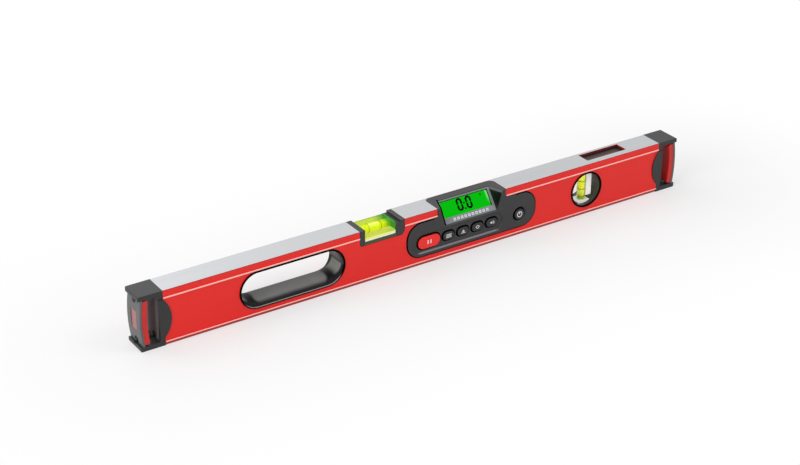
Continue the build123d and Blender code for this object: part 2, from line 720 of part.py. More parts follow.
def plumb_vial_body():
    """Clear upright tube with a rounded top and a barrel bore from its lower end."""
    length = PLUMB_VIAL_HIGH - PLUMB_VIAL_LOW
    tube = Cylinder(PLUMB_VIAL_RADIUS, length)
    tube = fillet(tube.edges().sort_by(Axis.Z)[-1], PLUMB_VIAL_EDGE)
    body = Pos(PLUMB_VIAL_X, PLUMB_VIAL_Y, PLUMB_VIAL_LOW + length / 2) * tube
    body -= plumb_place(barrel(PLUMB_BORE_LENGTH, PLUMB_BORE, BARREL_RISE))
    plug_start = -PLUMB_BORE_LENGTH / 2
    body -= plumb_place(rod_x(plug_start - PLUG_LENGTH, plug_start, 0, 0, PLUMB_BORE))
    for ring in ring_discs(PLUMB_RING_GAP, PLUMB_RING_RADIUS + RING_DEPTH):
        body -= plumb_place(ring)
    return body


def plumb_vial_liquid():
    """Liquid of the plumb vial, open along the bubble's path."""
    liquid = barrel(PLUMB_BORE_LENGTH, PLUMB_BORE - LIQUID_FIT, BARREL_RISE)
    length = PLUMB_BUBBLE_LENGTH + PLUMB_BUBBLE_TRAVEL + 2 * BUBBLE_FIT
    radius = PLUMB_BUBBLE_RADIUS + BUBBLE_FIT
    path = Pos(PLUMB_BUBBLE_TOP - PLUMB_BUBBLE_TRAVEL / 2, 0, 0) * capsule(length, radius)
    path += rod_x(PLUMB_BUBBLE_TOP, PLUMB_BORE_LENGTH, 0, 0, radius)
    return plumb_place(liquid - path)


def plumb_vial_rings():
    """Two black rings in the plumb vial's bore wall."""
    rings = vial_rings(PLUMB_RING_GAP, PLUMB_RING_RADIUS)
    return Compound(children=[plumb_place(ring).solids()[0] for ring in rings])


def plumb_vial_plug():
    """Plug that seals the plumb vial's bore."""
    start = -PLUMB_BORE_LENGTH / 2
    return plumb_place(rod_x(start - PLUG_LENGTH, start, 0, 0, PLUMB_BORE - LIQUID_FIT))


def plumb_bubble():
    """Bubble at the top of the upright vial."""
    return plumb_place(Pos(PLUMB_BUBBLE_TOP, 0, 0) * capsule(PLUMB_BUBBLE_LENGTH, PLUMB_BUBBLE_RADIUS))


# Sight mirror under the slot

MIRROR_LOW_X = PLUMB_X + PLUMB_RADIUS + MIRROR_GAP
MIRROR_HIGH_X = SLOT_RIGHT - MIRROR_GAP
MIRROR_RISE = MIRROR_HIGH_X - MIRROR_LOW_X
MIRROR_LOW_Z = FLANGE_WALL + BRACKET_WALL


def slanted_strip(offset, thickness):
    """Strip at 45 degrees under the slot, offset to its lower right."""
    shift = offset * math.sqrt(0.5)
    depth = thickness * math.sqrt(0.5)
    low = (MIRROR_LOW_X + shift, MIRROR_LOW_Z - shift)
    high = (MIRROR_HIGH_X + shift, MIRROR_LOW_Z + MIRROR_RISE - shift)
    corners = [low, (low[0] + depth, low[1] - depth), (high[0] + depth, high[1] - depth), high]
    return make_face(Polyline(*corners, close=True))


def sight_lens():
    """Smoked clear floor of the slot, with a rim that is glued under the slot's edge."""
    face = HEIGHT - SLOT_DEPTH
    tray = block(SLOT_LEFT - LENS_MARGIN, SLOT_RIGHT + LENS_MARGIN, SLOT_FRONT - LENS_MARGIN,
                 SLOT_BACK + LENS_SIDE_MARGIN, face - LENS_THICKNESS, CAVITY_TOP)
    return tray - block(SLOT_LEFT - LENS_GAP, SLOT_RIGHT + LENS_GAP, SLOT_FRONT - LENS_GAP,
                        SLOT_BACK + LENS_GAP, face, HEIGHT)


def sight_mirror():
    """Mirror plate that shows the plumb vial through the slot."""
    return slab(slanted_strip(0, MIRROR_THICKNESS), SLOT_FRONT, SLOT_BACK)


def mirror_bracket():
    """Slanted plate, foot and upright that carry the mirror inside the profile."""
    shape = slanted_strip(MIRROR_THICKNESS, BRACKET_WALL)
    foot_end = MIRROR_HIGH_X + BRACKET_WALL
    shape += Pos((MIRROR_LOW_X + foot_end) / 2, FLANGE_WALL + BRACKET_WALL / 2) * Rectangle(
        foot_end - MIRROR_LOW_X, BRACKET_WALL)
    upright = MIRROR_LOW_Z + MIRROR_RISE - MIRROR_THICKNESS - FLANGE_WALL
    shape += Pos(foot_end - BRACKET_WALL / 2, FLANGE_WALL + upright / 2) * Rectangle(BRACKET_WALL, upright)
    mirror_zone = slanted_strip(0, MIRROR_THICKNESS)
    inside = block(-LENGTH, LENGTH, -CAVITY, CAVITY, FLANGE_WALL, CAVITY_TOP)
    return slab(shape - mirror_zone, SLOT_FRONT, SLOT_BACK) & inside


# Electronic module

KEY_NAMES = ("mode_button", "memory_button", "calibrate_button", "sound_button")
KEY_XS = [KEY_FIRST_X + KEY_PITCH * index for index in range(len(KEY_NAMES))]
BOSS_XS = (MODULE_LEFT + CASE_BOSS_INSET_X, MODULE_RIGHT - CASE_BOSS_INSET_X)
BOSS_ZS = (MODULE_LOW + CASE_BOSS_INSET_Z, MODULE_HIGH - CASE_BOSS_INSET_Z)
BOSSES = [(x, z) for x in BOSS_XS for z in BOSS_ZS]


def button_outlines(grow):
    """Outline of every button, grown all round, by name."""
    hold = pill(HOLD_LENGTH + 2 * grow, HOLD_HEIGHT + 2 * grow)
    outlines = {"hold_button": Pos(HOLD_X, BUTTON_Z) * hold}
    for name, x in zip(KEY_NAMES, KEY_XS):
        outlines[name] = Pos(x, BUTTON_Z) * pill(KEY_LENGTH + 2 * grow, KEY_HEIGHT + 2 * grow)
    outlines["power_button"] = Pos(POWER_X, BUTTON_Z) * Circle(POWER_RADIUS + grow)
    return outlines


def display_pocket():
    """Room for the display glass and its light guide behind the slope."""
    depth = BEZEL_THICKNESS + PANEL_THICKNESS + BACKLIGHT_THICKNESS + FIT
    return slope_block(SLOPE_LEFT - PANEL_OVERLAP - FIT, SLOPE_RIGHT + PANEL_OVERLAP + FIT,
                       PANEL_LOW - FIT, PANEL_HIGH + FIT, -depth, -BEZEL_THICKNESS)


def module_front_case():
    """Faceplate, neck and side walls in one moulding, hollow behind the display slope."""
    case = slab(module_outline(0, MODULE_TOP), FACE, SPLIT) + neck_block(0, MODULE_TOP)
    case = fillet(case.faces().sort_by(Axis.Y)[0].edges(), PLATE_EDGE)
    recess = SLOPE * extrude(
        Pos((SLOPE_LEFT + SLOPE_RIGHT) / 2, SLOPE_LENGTH / 2) * Rectangle(
            SLOPE_RIGHT - SLOPE_LEFT, SLOPE_LENGTH + HEIGHT),
        amount=WIDTH, taper=-SLOPE_FLARE)
    reach = MODULE_RIGHT - MODULE_LEFT
    case -= recess & slope_block(-reach, reach, -WIDTH, HEIGHT, 0, WIDTH)
    hollow = slab(module_plate(-CASE_WALL), PLATE_BACK, SPLIT)
    hollow += block(NECK_LEFT + CASE_WALL, NECK_RIGHT - CASE_WALL, PLATE_BACK, NECK_BACK - CASE_WALL,
                    NECK_BOTTOM + CASE_WALL, MODULE_TOP - CASE_WALL)
    hollow -= slope_block(NECK_LEFT, NECK_RIGHT, -WIDTH, HEIGHT, -BEZEL_THICKNESS, WIDTH)
    case -= hollow
    case -= display_pocket()
    case -= slope_block(SLOPE_LEFT - FIT, SLOPE_RIGHT + FIT, BEZEL_LOW - FIT, BEZEL_HIGH + FIT,
                        -BEZEL_THICKNESS, WIDTH)
    key_field = Pos((KEY_FIELD_LEFT + KEY_FIELD_RIGHT) / 2,
                    MODULE_LOW + KEY_FIELD_LOW + KEY_FIELD_HEIGHT / 2)
    rings = []
    for shrink in (0, KEY_FIELD_DEPTH):
        outline = RectangleRounded(KEY_FIELD_RIGHT - KEY_FIELD_LEFT - 2 * shrink,
                                   KEY_FIELD_HEIGHT - 2 * shrink, KEY_FIELD_CORNER - shrink)
        plane = Plane(origin=(0, FACE + shrink, 0), x_dir=(1, 0, 0), z_dir=(0, -1, 0))
        rings.append(plane * key_field * outline)
    case -= loft(rings, ruled=True)
    dish = Pos(POWER_X, FACE, BUTTON_Z) * Rot(90, 0, 0) * Cone(
        POWER_DISH - POWER_DISH_DEPTH, POWER_DISH + POWER_DISH_DEPTH, 2 * POWER_DISH_DEPTH)
    case -= dish
    for outline in button_outlines(BUTTON_FIT).values():
        case -= slab(outline, FACE - WIDTH, PLATE_BACK)
    for x, z in BOSSES:
        case += rod_y(x, PLATE_BACK, SPLIT, z, CASE_BOSS)
        case -= rod_y(x, SPLIT - CASE_SCREW_BITE, SPLIT, z, CASE_SCREW_RADIUS + THREAD_FIT)
    for x in STANDOFF_XS:
        case += rod_y(x, PLATE_BACK, BOARD_FRONT, BOARD_Z + STANDOFF_LOW, STANDOFF_RADIUS)
    return case


def module_rear_case():
    """Back shell with the battery bay moulded in."""
    outline = module_plate(-REAR_CASE_INSET)
    low_part = block(MODULE_LEFT, MODULE_RIGHT, -WIDTH, WIDTH, 0, NECK_BOTTOM - MODULE_FIT)
    shell = slab(outline, SPLIT, CASE_BACK) & low_part
    inner_top = NECK_BOTTOM - MODULE_FIT - REAR_CASE_WALL
    inner = slab(module_plate(-REAR_CASE_INSET - REAR_CASE_WALL), SPLIT, BAY_BACK)
    shell -= inner & block(MODULE_LEFT, MODULE_RIGHT, -WIDTH, WIDTH, 0, inner_top)
    half_x = BAY_LENGTH / 2
    wall_x, wall_z = half_x + BAY_WALL, BAY_HALF + BAY_WALL
    shell += block(CELL_CENTRE_X - wall_x, CELL_CENTRE_X + wall_x, BAY_FRONT - BAY_WALL, CASE_BACK,
                   CELL_Z - wall_z, CELL_Z + wall_z)
    shell -= block(CELL_CENTRE_X - half_x, CELL_CENTRE_X + half_x, BAY_FRONT, WIDTH,
                   CELL_Z - BAY_HALF, CELL_Z + BAY_HALF)
    shell -= display_pocket()
    for x, z in BOSSES:
        boss = rod_y(x, SPLIT, BAY_BACK, z, CASE_BOSS) & low_part
        shell += boss
        shell -= rod_y(x, SPLIT, CASE_BACK, z, CASE_SCREW_RADIUS + FIT)
        shell -= rod_y(x, CASE_BACK - CASE_SCREW_HEAD_HEIGHT - FIT, WIDTH, z, CASE_SCREW_HEAD + FIT)
    return shell


def module_screws():
    """Four screws that close the module from behind."""
    screws = []
    head = CASE_BACK - CASE_SCREW_HEAD_HEIGHT - FIT
    for x, z in BOSSES:
        screw = rod_y(x, SPLIT - CASE_SCREW_BITE + FIT, head, z, CASE_SCREW_RADIUS)
        screw += rod_y(x, head, head + CASE_SCREW_HEAD_HEIGHT, z, CASE_SCREW_HEAD)
        screws.append(screw.solids()[0])
    return Compound(children=screws)


def display_bezel():
    """Grey frame round the display, set in the slope."""
    frame = slope_block(SLOPE_LEFT, SLOPE_RIGHT, BEZEL_LOW, BEZEL_HIGH, -BEZEL_THICKNESS, 0)
    return frame - slope_block(SLOPE_LEFT + BEZEL_BORDER_LEFT, SLOPE_RIGHT - BEZEL_BORDER_RIGHT,
                               BEZEL_LOW + BEZEL_BORDER_LOW, BEZEL_HIGH - BEZEL_BORDER_HIGH,
                               -WIDTH, WIDTH)


def display_panel():
    """Liquid crystal glass behind the frame."""
    return slope_block(SLOPE_LEFT - PANEL_OVERLAP, SLOPE_RIGHT + PANEL_OVERLAP, PANEL_LOW, PANEL_HIGH,
                       -BEZEL_THICKNESS - PANEL_THICKNESS, -BEZEL_THICKNESS)


def backlight():
    """Light guide behind the display glass."""
    top = -BEZEL_THICKNESS - PANEL_THICKNESS
    return slope_block(SLOPE_LEFT, SLOPE_RIGHT, PANEL_LOW + BACKLIGHT_INSET, PANEL_HIGH - BACKLIGHT_INSET,
                       top - BACKLIGHT_THICKNESS, top)


def main_board():
    """Circuit board on the faceplate's standoffs."""
    return block(BOARD_LEFT, BOARD_RIGHT, BOARD_FRONT, BOARD_BACK, BOARD_Z, BOARD_Z + BOARD_HEIGHT)


def dome_switches():
    """One round switch on the board behind each button."""
    places = [HOLD_X, *KEY_XS, POWER_X]
    domes = [rod_y(x, DOME_FRONT, BOARD_FRONT, BUTTON_Z, DOME_RADIUS) for x in places]
    return Compound(children=[dome.solids()[0] for dome in domes])


def tilt_sensor():
    """Angle sensor chip on the back of the board."""
    z = BOARD_Z + SENSOR_LOW
    half = SENSOR_SIZE / 2
    back = BOARD_BACK + SENSOR_HEIGHT
    return block(SENSOR_X - half, SENSOR_X + half, BOARD_BACK, back, z - half, z + half)


def buzzer():
    """Sounder on the back of the board."""
    return rod_y(BUZZER_X, BOARD_BACK, BOARD_BACK + BUZZER_HEIGHT, BOARD_Z + BUZZER_LOW, BUZZER_RADIUS)


def button(name, floor):
    """Button cap, retaining flange and stem; floor is the face that it stands out of."""
    cap = slab(button_outlines(0)[name], floor - BUTTON_PROUD, FLANGE_FRONT)
    cap = fillet(cap.faces().sort_by(Axis.Y)[0].edges(), BUTTON_CROWN)
    cap += slab(button_outlines(BUTTON_FLANGE)[name], FLANGE_FRONT, FLANGE_FRONT + BUTTON_FLANGE_THICKNESS)
    x = button_outlines(0)[name].center().X
    return cap + rod_y(x, FLANGE_FRONT, STEM_END, BUTTON_Z, BUTTON_STEM)


def battery_cells():
    """Cells end to end in the bay."""
    cells = []
    start = CELL_CENTRE_X - CELL_COUNT * CELL_LENGTH / 2
    for index in range(CELL_COUNT):
        x = start + index * CELL_LENGTH
        cells.append(rod_x(x, x + CELL_LENGTH, CELL_Y, CELL_Z, CELL_RADIUS).solids()[0])
    return Compound(children=cells)


def battery_contacts():
    """Sprung contact at each end of the bay."""
    contacts = []
    for side in (-1, 1):
        wall = CELL_CENTRE_X + side * BAY_LENGTH / 2
        face = wall - side * CONTACT_PLATE
        tip = face - side * CONTACT_STUD
        half = CELL_RADIUS
        contact = block(min(wall, face), max(wall, face), CELL_Y - half, CELL_Y + half,
                        CELL_Z - half, CELL_Z + half)
        contact += rod_x(min(face, tip), max(face, tip), CELL_Y, CELL_Z, CONTACT_RADIUS)
        contacts.append(contact.solids()[0])
    return Compound(children=contacts)


def battery_door():
    """Lift-off door in the rear web, with two ribs that grip the bay and a finger notch."""
    low = CASE_BACK + DOOR_GAP
    outer = REAR - DOOR_SINK
    door = slab(door_outline(0), low, outer)
    for side in (-1, 1):
        z_outer = CELL_Z + side * (BAY_HALF - FIT)
        z_inner = z_outer - side * DOOR_RIB
        half = DOOR_RIB_LENGTH / 2
        door += block(CELL_CENTRE_X - half, CELL_CENTRE_X + half, low - DOOR_RIB_DEPTH, low,
                      min(z_outer, z_inner), max(z_outer, z_inner))
    notch_x = CELL_CENTRE_X + BAY_LENGTH / 2 - DOOR_NOTCH_LENGTH
    notch = Pos(notch_x, CELL_Z) * pill(DOOR_NOTCH_LENGTH, DOOR_NOTCH_HEIGHT)
    return door - slab(notch, outer - DOOR_NOTCH_DEPTH, REAR + WIDTH)


def pieces():
    """Every piece of the level by name."""
    cap, core, skin = cap_body(), bumper_core(), bumper_skin()
    shell, bezel = grip_shell(), plumb_bezel()
    parts = {
        "box_profile": box_profile(),
        "right_cap_body": cap,
        "left_cap_body": mirrored(cap),
        "right_bumper_core": core,
        "left_bumper_core": mirrored(core),
        "right_bumper_skin": skin,
        "left_bumper_skin": mirrored(skin),
        "cap_screws": cap_screws(),
        "grip_front_shell": shell,
        "grip_rear_shell": mirror(shell, about=Plane.XZ),
        "grip_pad": grip_pad(),
        "vial_cradle": vial_cradle(),
        "level_reflector": level_reflector(),
        "level_vial_body": level_vial_body(),
        "level_vial_liquid": level_vial_liquid(),
        "level_vial_rings": level_vial_rings(),
        "level_vial_plug": level_vial_plug(),
        "level_bubble": level_bubble(),
        "plumb_front_bezel": bezel,
        "plumb_rear_bezel": mirror(bezel, about=Plane.XZ),
        "plumb_holder": plumb_holder(),
        "plumb_vial_body": plumb_vial_body(),
        "plumb_vial_liquid": plumb_vial_liquid(),
        "plumb_vial_rings": plumb_vial_rings(),
        "plumb_vial_plug": plumb_vial_plug(),
        "plumb_bubble": plumb_bubble(),
        "sight_lens": sight_lens(),
        "sight_mirror": sight_mirror(),
        "mirror_bracket": mirror_bracket(),
        "module_front_case": module_front_case(),
        "module_rear_case": module_rear_case(),
        "module_screws": module_screws(),
        "display_bezel": display_bezel(),
        "display_panel": display_panel(),
        "backlight": backlight(),
        "main_board": main_board(),
        "dome_switches": dome_switches(),
        "tilt_sensor": tilt_sensor(),
        "buzzer": buzzer(),
        "battery_cells": battery_cells(),
        "battery_contacts": battery_contacts(),
        "battery_door": battery_door(),
        "power_button": button("power_button", FACE + POWER_DISH_DEPTH),
    }
    for name in ("hold_button", *KEY_NAMES):
        parts[name] = button(name, KEY_FLOOR)
    return parts


os.makedirs("parts", exist_ok=True)
for node, shape in pieces().items():
    export_step(solid(shape), f"parts/{node}.step")
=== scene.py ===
import bmesh
import bpy
import numpy as np
from mathutils import Matrix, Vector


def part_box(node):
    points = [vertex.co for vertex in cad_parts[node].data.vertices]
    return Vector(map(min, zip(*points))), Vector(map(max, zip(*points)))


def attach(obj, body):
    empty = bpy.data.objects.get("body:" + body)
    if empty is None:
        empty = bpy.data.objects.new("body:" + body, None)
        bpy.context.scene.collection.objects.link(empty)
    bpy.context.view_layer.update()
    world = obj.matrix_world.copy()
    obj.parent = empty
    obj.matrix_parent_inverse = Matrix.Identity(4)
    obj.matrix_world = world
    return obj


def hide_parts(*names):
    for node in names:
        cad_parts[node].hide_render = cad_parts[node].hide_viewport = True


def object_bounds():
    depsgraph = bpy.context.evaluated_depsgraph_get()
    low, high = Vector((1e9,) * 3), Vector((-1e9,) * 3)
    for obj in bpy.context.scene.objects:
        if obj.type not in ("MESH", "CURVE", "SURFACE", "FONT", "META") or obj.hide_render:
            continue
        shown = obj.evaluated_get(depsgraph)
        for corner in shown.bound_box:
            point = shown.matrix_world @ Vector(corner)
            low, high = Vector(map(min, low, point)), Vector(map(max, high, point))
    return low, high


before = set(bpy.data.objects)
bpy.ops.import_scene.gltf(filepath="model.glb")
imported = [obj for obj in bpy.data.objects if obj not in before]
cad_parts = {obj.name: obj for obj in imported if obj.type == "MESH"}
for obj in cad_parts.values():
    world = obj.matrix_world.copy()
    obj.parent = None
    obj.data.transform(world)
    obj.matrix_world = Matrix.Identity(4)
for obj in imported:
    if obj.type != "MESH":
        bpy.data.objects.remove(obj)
cad_box = [list(corner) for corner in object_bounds()]


# Box profile: an extruded aluminium tube, powder painted red on its webs. Its upper and
# lower faces are milled bare afterwards, so that they measure true.

class Value:
    """One shader socket in a sum: each operator on it adds a Math node."""

    def __init__(self, finish, socket):
        self.finish = finish
        self.socket = socket

    def math(self, operation, first, second=0.0):
        """Result of a Math node on two values or numbers."""
        node = self.finish.node("ShaderNodeMath", {"operation": operation}, {0: first, 1: second})
        return Value(self.finish, node.outputs[0])

    def __add__(self, other):
        return self.math("ADD", self, other)

    def __radd__(self, other):
        return self.math("ADD", other, self)

    def __sub__(self, other):
        return self.math("SUBTRACT", self, other)

    def __rsub__(self, other):
        return self.math("SUBTRACT", other, self)

    def __mul__(self, other):
        return self.math("MULTIPLY", self, other)

    def __rmul__(self, other):
        return self.math("MULTIPLY", other, self)

    def __gt__(self, other):
        return self.math("GREATER_THAN", self, other)

    def __lt__(self, other):
        return self.math("LESS_THAN", self, other)

    def __abs__(self):
        return self.math("ABSOLUTE", self)

    def between(self, low, high):
        """1 between two limits and 0 outside them."""
        return (self > low) * (self < high)

    def larger(self, other):
        """The larger of two values."""
        return self.math("MAXIMUM", self, other)


class Finish:
    """One material, or the surround: its shader and the nodes that feed it."""

    def __init__(self, name, sockets, kind="materials", shader="Principled BSDF"):
        self.data = getattr(bpy.data, kind).new(name)
        self.data.use_nodes = True
        self.tree = self.data.node_tree
        self.shader = self.tree.nodes[shader]
        self.set(sockets)

    def node(self, kind, settings, inputs):
        """Adds a node of any kind: its settings first, then the values or links of its sockets."""
        node = self.tree.nodes.new(kind)
        for key, value in settings.items():
            setattr(node, key, value)
        for key, value in inputs.items():
            self.feed(node.inputs[key], value)
        return node

    def feed(self, socket, value):
        """Links a value to a socket, or sets a plain number or colour on it."""
        if isinstance(value, Value):
            self.tree.links.new(value.socket, socket)
        else:
            socket.default_value = value

    def set(self, sockets):
        """Feeds the shader's sockets by their names."""
        for key, value in sockets.items():
            self.feed(self.shader.inputs[key], value)

    def place(self):
        """Object coordinates, in metres."""
        return Value(self, self.node("ShaderNodeTexCoord", {}, {}).outputs["Object"])

    def axes(self):
        """The three object coordinates as single values."""
        node = self.node("ShaderNodeSeparateXYZ", {}, {0: self.place()})
        return [Value(self, socket) for socket in node.outputs]

    def noise(self, stretch, detail=3.0):
        """Noise with the given number of waves per metre along X, Y and Z."""
        spread = self.node("ShaderNodeMapping", {}, {"Vector": self.place(), "Scale": stretch})
        node = self.node("ShaderNodeTexNoise", {}, {
            "Vector": Value(self, spread.outputs[0]), "Scale": 1.0, "Detail": detail})
        return Value(self, node.outputs[0])

    def mix(self, share, first, second):
        """Colour between first, at share 0, and second, at share 1."""
        node = self.node("ShaderNodeMix", {"data_type": "RGBA"}, {0: share, 6: first, 7: second})
        return Value(self, node.outputs[2])

    def ramp(self, value, low, high):
        """0 up to low, 1 from high on, and a smooth step between them."""
        node = self.node("ShaderNodeMapRange", {"interpolation_type": "SMOOTHSTEP"}, {
            "Value": value, "From Min": low, "From Max": high})
        return Value(self, node.outputs[0])

    def tint(self, mask, shade):
        """Changes the base colour to that shade where the mask is 1."""
        before = Value(self, self.shader.inputs["Base Color"].links[0].from_socket)
        self.set({"Base Color": self.mix(mask, before, shade)})

    def cover(self, mask, other):
        """Shows another shader in place of the finish's own, to the share that the mask gives."""
        both = self.node("ShaderNodeMixShader", {}, {
            0: mask, 1: Value(self, self.shader.outputs[0]), 2: Value(self, other.outputs[0])})
        self.feed(self.tree.nodes["Material Output"].inputs[0], Value(self, both.outputs[0]))

    def dull(self, mask, shade):
        """Makes the masked part a dull face of that shade, without gloss."""
        self.cover(mask, self.node("ShaderNodeBsdfDiffuse", {}, {"Color": shade}))

    def normal(self, radius, height, distance):
        """Surface normal with edges rounded by a radius, and a grain of a height times a distance."""
        edge = self.node("ShaderNodeBevel", {"samples": 4}, {"Radius": radius})
        grain = self.node("ShaderNodeBump", {}, {
            "Height": height, "Distance": distance, "Strength": 1.0,
            "Normal": Value(self, edge.outputs[0])})
        return Value(self, grain.outputs[0])


def colour(red, green, blue):
    """Linear colour of a display colour given from 0 to 255: the power law of the screen undone."""
    shade = np.array([red, green, blue]) / 255
    linear = np.where(shade > 0.04045, ((shade + 0.055) / 1.055) ** 2.4, shade / 12.92)
    return (*linear.tolist(), 1.0)


def paint(finish, *nodes):
    """Gives CAD nodes their finish."""
    for node in nodes:
        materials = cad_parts[node].data.materials
        materials.clear()
        materials.append(finish.data)


MM = 0.001
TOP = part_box("box_profile")[1].z
MILLED_DEPTH = 0.05 * MM
WEB_FACE = 11.3 * MM
LINE_FACE = 13.0 * MM
LOWER_LINE = 3.45 * MM
UPPER_RIM = 0.9 * MM

# The webs are bright red outside and thinly sprayed inside. The crests of the raised lines show pale,
# a painted highlight, and the rims along both edges darker, a painted shade.
profile_paint = Finish("profile_paint", {"IOR": 1.5, "Specular IOR Level": 0.38})
_, depth, height = profile_paint.axes()
bare = (height > TOP - MILLED_DEPTH) + (height < MILLED_DEPTH)
outside = abs(depth) > WEB_FACE
crest = (abs(depth) > LINE_FACE) * (height > LOWER_LINE)
rim_shade = (height > TOP - UPPER_RIM) + (height < LOWER_LINE)
peel = profile_paint.noise((900, 900, 900))
drawn = profile_paint.noise((6, 2600, 2600), 4.0)
blotch = profile_paint.noise((9, 30, 30))
red = profile_paint.mix(blotch, colour(228, 21, 13), colour(239, 29, 19))
overspray = profile_paint.mix(blotch, colour(92, 34, 36), colour(112, 42, 44))
red = profile_paint.mix(outside, overspray, red)
red = profile_paint.mix(rim_shade, red, colour(182, 38, 34))
red = profile_paint.mix(crest, red, colour(255, 192, 182))
metal = profile_paint.mix(drawn, colour(169, 171, 174), colour(207, 208, 210))
profile_paint.set({
    "Base Color": profile_paint.mix(bare, red, metal),
    "Metallic": bare,
    "Roughness": 0.33 + 0.08 * peel + bare * (0.02 + 0.14 * drawn),
    "Normal": profile_paint.normal(0.12 * MM, peel * (1 - bare) + drawn * bare * 0.4, 0.02 * MM),
})
paint(profile_paint, "box_profile")


# End caps: bodies moulded in charcoal plastic with a spark-eroded grain, pushed into the
# profile with a spigot and held by two screws each.

def moulded(name, low, high, roughness, radius=0.5 * MM, grain=0.03 * MM):
    """Moulded plastic: two shades blended by a soft noise, fine grain and rounded edges."""
    finish = Finish(name, {"IOR": 1.48})
    cloud = finish.noise((60, 60, 60))
    pores = finish.noise((2200, 2200, 2200), 2.0)
    finish.set({
        "Base Color": finish.mix(cloud, low, high),
        "Roughness": roughness + 0.12 * pores,
        "Normal": finish.normal(radius, pores, grain),
    })
    return finish


LOOP_START = 285.8 * MM
LOOP_DEPTH = 10 * MM
LOOP_HEIGHT = (5.2 * MM, 50.7 * MM)

# The walls of the loop behind each bumper are lighter, which stands for the light that the
# photograph shows in there.
cap_plastic = moulded("cap_plastic", colour(26, 27, 28), colour(36, 37, 38), 0.4, 0.6 * MM)
cap_x, cap_y, cap_z = cap_plastic.axes()
loop = (abs(cap_x) > LOOP_START) * (abs(cap_y) < LOOP_DEPTH) * cap_z.between(*LOOP_HEIGHT)
cap_plastic.dull(loop, colour(112, 113, 114))
paint(cap_plastic, "left_cap_body", "right_cap_body")


# Bumper bars: two rubber layers moulded onto each cap, a red core and a black outer skin
# that takes the knocks. The sunken panel on each end stays plain.
MID_HEIGHT = 27.5 * MM
POCKET_OFFSET = 20.5 * MM
POCKET_RADIUS = 3.75 * MM
PANEL_FLOOR = (303.4 * MM, 303.9 * MM)
PANEL_HALF_DEPTH = 5.4 * MM
PANEL_HALF_HEIGHT = 9.9 * MM

core_rubber = moulded("core_rubber", colour(188, 20, 16), colour(206, 30, 24), 0.4)
_, core_y, core_z = core_rubber.axes()
pocket_z = abs(core_z - MID_HEIGHT) - POCKET_OFFSET
pocket_shade = core_y * core_y + pocket_z * pocket_z < POCKET_RADIUS ** 2
# The screw pockets in the red core are painted near black: a painted shade of the deep holes.
core_rubber.dull(pocket_shade, colour(10, 10, 11))
paint(core_rubber, "left_bumper_core", "right_bumper_core")

skin_rubber = moulded("skin_rubber", colour(84, 85, 86), colour(98, 99, 100), 0.5, 0.8 * MM)
skin_x, skin_y, skin_z = skin_rubber.axes()
panel = abs(skin_x).between(*PANEL_FLOOR) * (abs(skin_y) < PANEL_HALF_DEPTH)
panel = panel * (abs(skin_z - MID_HEIGHT) < PANEL_HALF_HEIGHT)
skin_rubber.tint(panel, colour(158, 108, 108))
paint(skin_rubber, "left_bumper_skin", "right_bumper_skin")


# Cap screws: blackened steel, driven into the profile's ports through the pockets of the
# bumpers, two in each cap.

def turned(name, low, high, metallic, roughness):
    """Turned steel: two shades and the roughness follow a noise with its finest waves along X."""
    finish = Finish(name, {"Metallic": metallic})
    turning = finish.noise((900, 200, 200))
    finish.set({
        "Base Color": finish.mix(turning, low, high),
        "Roughness": roughness + 0.2 * turning,
    })
    return finish


black_steel = turned("black_steel", colour(38, 38, 40), colour(58, 58, 60), 0.8, 0.35)
paint(black_steel, "cap_screws")


# Hand grip: two glossy black liner halves snapped through the hole from the front and the
# rear, and a crowned pad of solid rubber glued along their floor.

def skin(grid, closed):
    """Vertices and faces over a grid of points: each row is a ring, joined to the next one by quads.
    A closed skin joins its last ring to its first; an open one has both end rings filled."""
    rows, columns, _ = grid.shape
    index = np.arange(rows * columns).reshape(rows, columns)
    joined = np.concatenate([index, index[:, :1]], 1)
    if closed:
        joined = np.concatenate([joined, joined[:1]], 0)
    quads = np.stack([joined[:-1, :-1], joined[1:, :-1], joined[1:, 1:], joined[:-1, 1:]], -1)
    faces = quads.reshape(-1, 4).tolist()
    if not closed:
        faces += [index[0].tolist(), index[-1][::-1].tolist()]
    return grid.reshape(-1, 3), faces


def piece(name, skins, finish, body, smooth=True):
    """One object out of several skins in millimetres, with outward faces, riding on a body."""
    points = []
    faces = []
    start = 0
    for vertices, polygons in skins:
        points.append(vertices)
        faces += [[corner + start for corner in polygon] for polygon in polygons]
        start += len(vertices)
    mesh = bpy.data.meshes.new(name)
    mesh.from_pydata((np.concatenate(points) * MM).tolist(), [], faces)
    shape = bmesh.new()
    shape.from_mesh(mesh)
    bmesh.ops.recalc_face_normals(shape, faces=shape.faces)
    shape.to_mesh(mesh)
    shape.free()
    mesh.polygons.foreach_set("use_smooth", np.full(len(mesh.polygons), smooth))
    mesh.materials.append(finish.data)
    made = bpy.data.objects.new(name, mesh)
    bpy.context.scene.collection.objects.link(made)
    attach(made, body)
    return made


pad_low, pad_high = (np.array(corner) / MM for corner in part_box("grip_pad"))
PAD_MIDDLE = (pad_low[0] + pad_high[0]) / 2
PAD_EDGE = 2.2
LINER_ARC = 17.25
LINER_CENTRE_Z = 27.5
LINER_HALF = 36.4
END_BLEND = 10.0
END_TURN = np.radians(84)
STRAIGHT_POINTS = 40
REACH_POINTS = 14
TURN_POINTS = 33
ACROSS_POINTS = 41
EDGE_STEEPNESS = 9


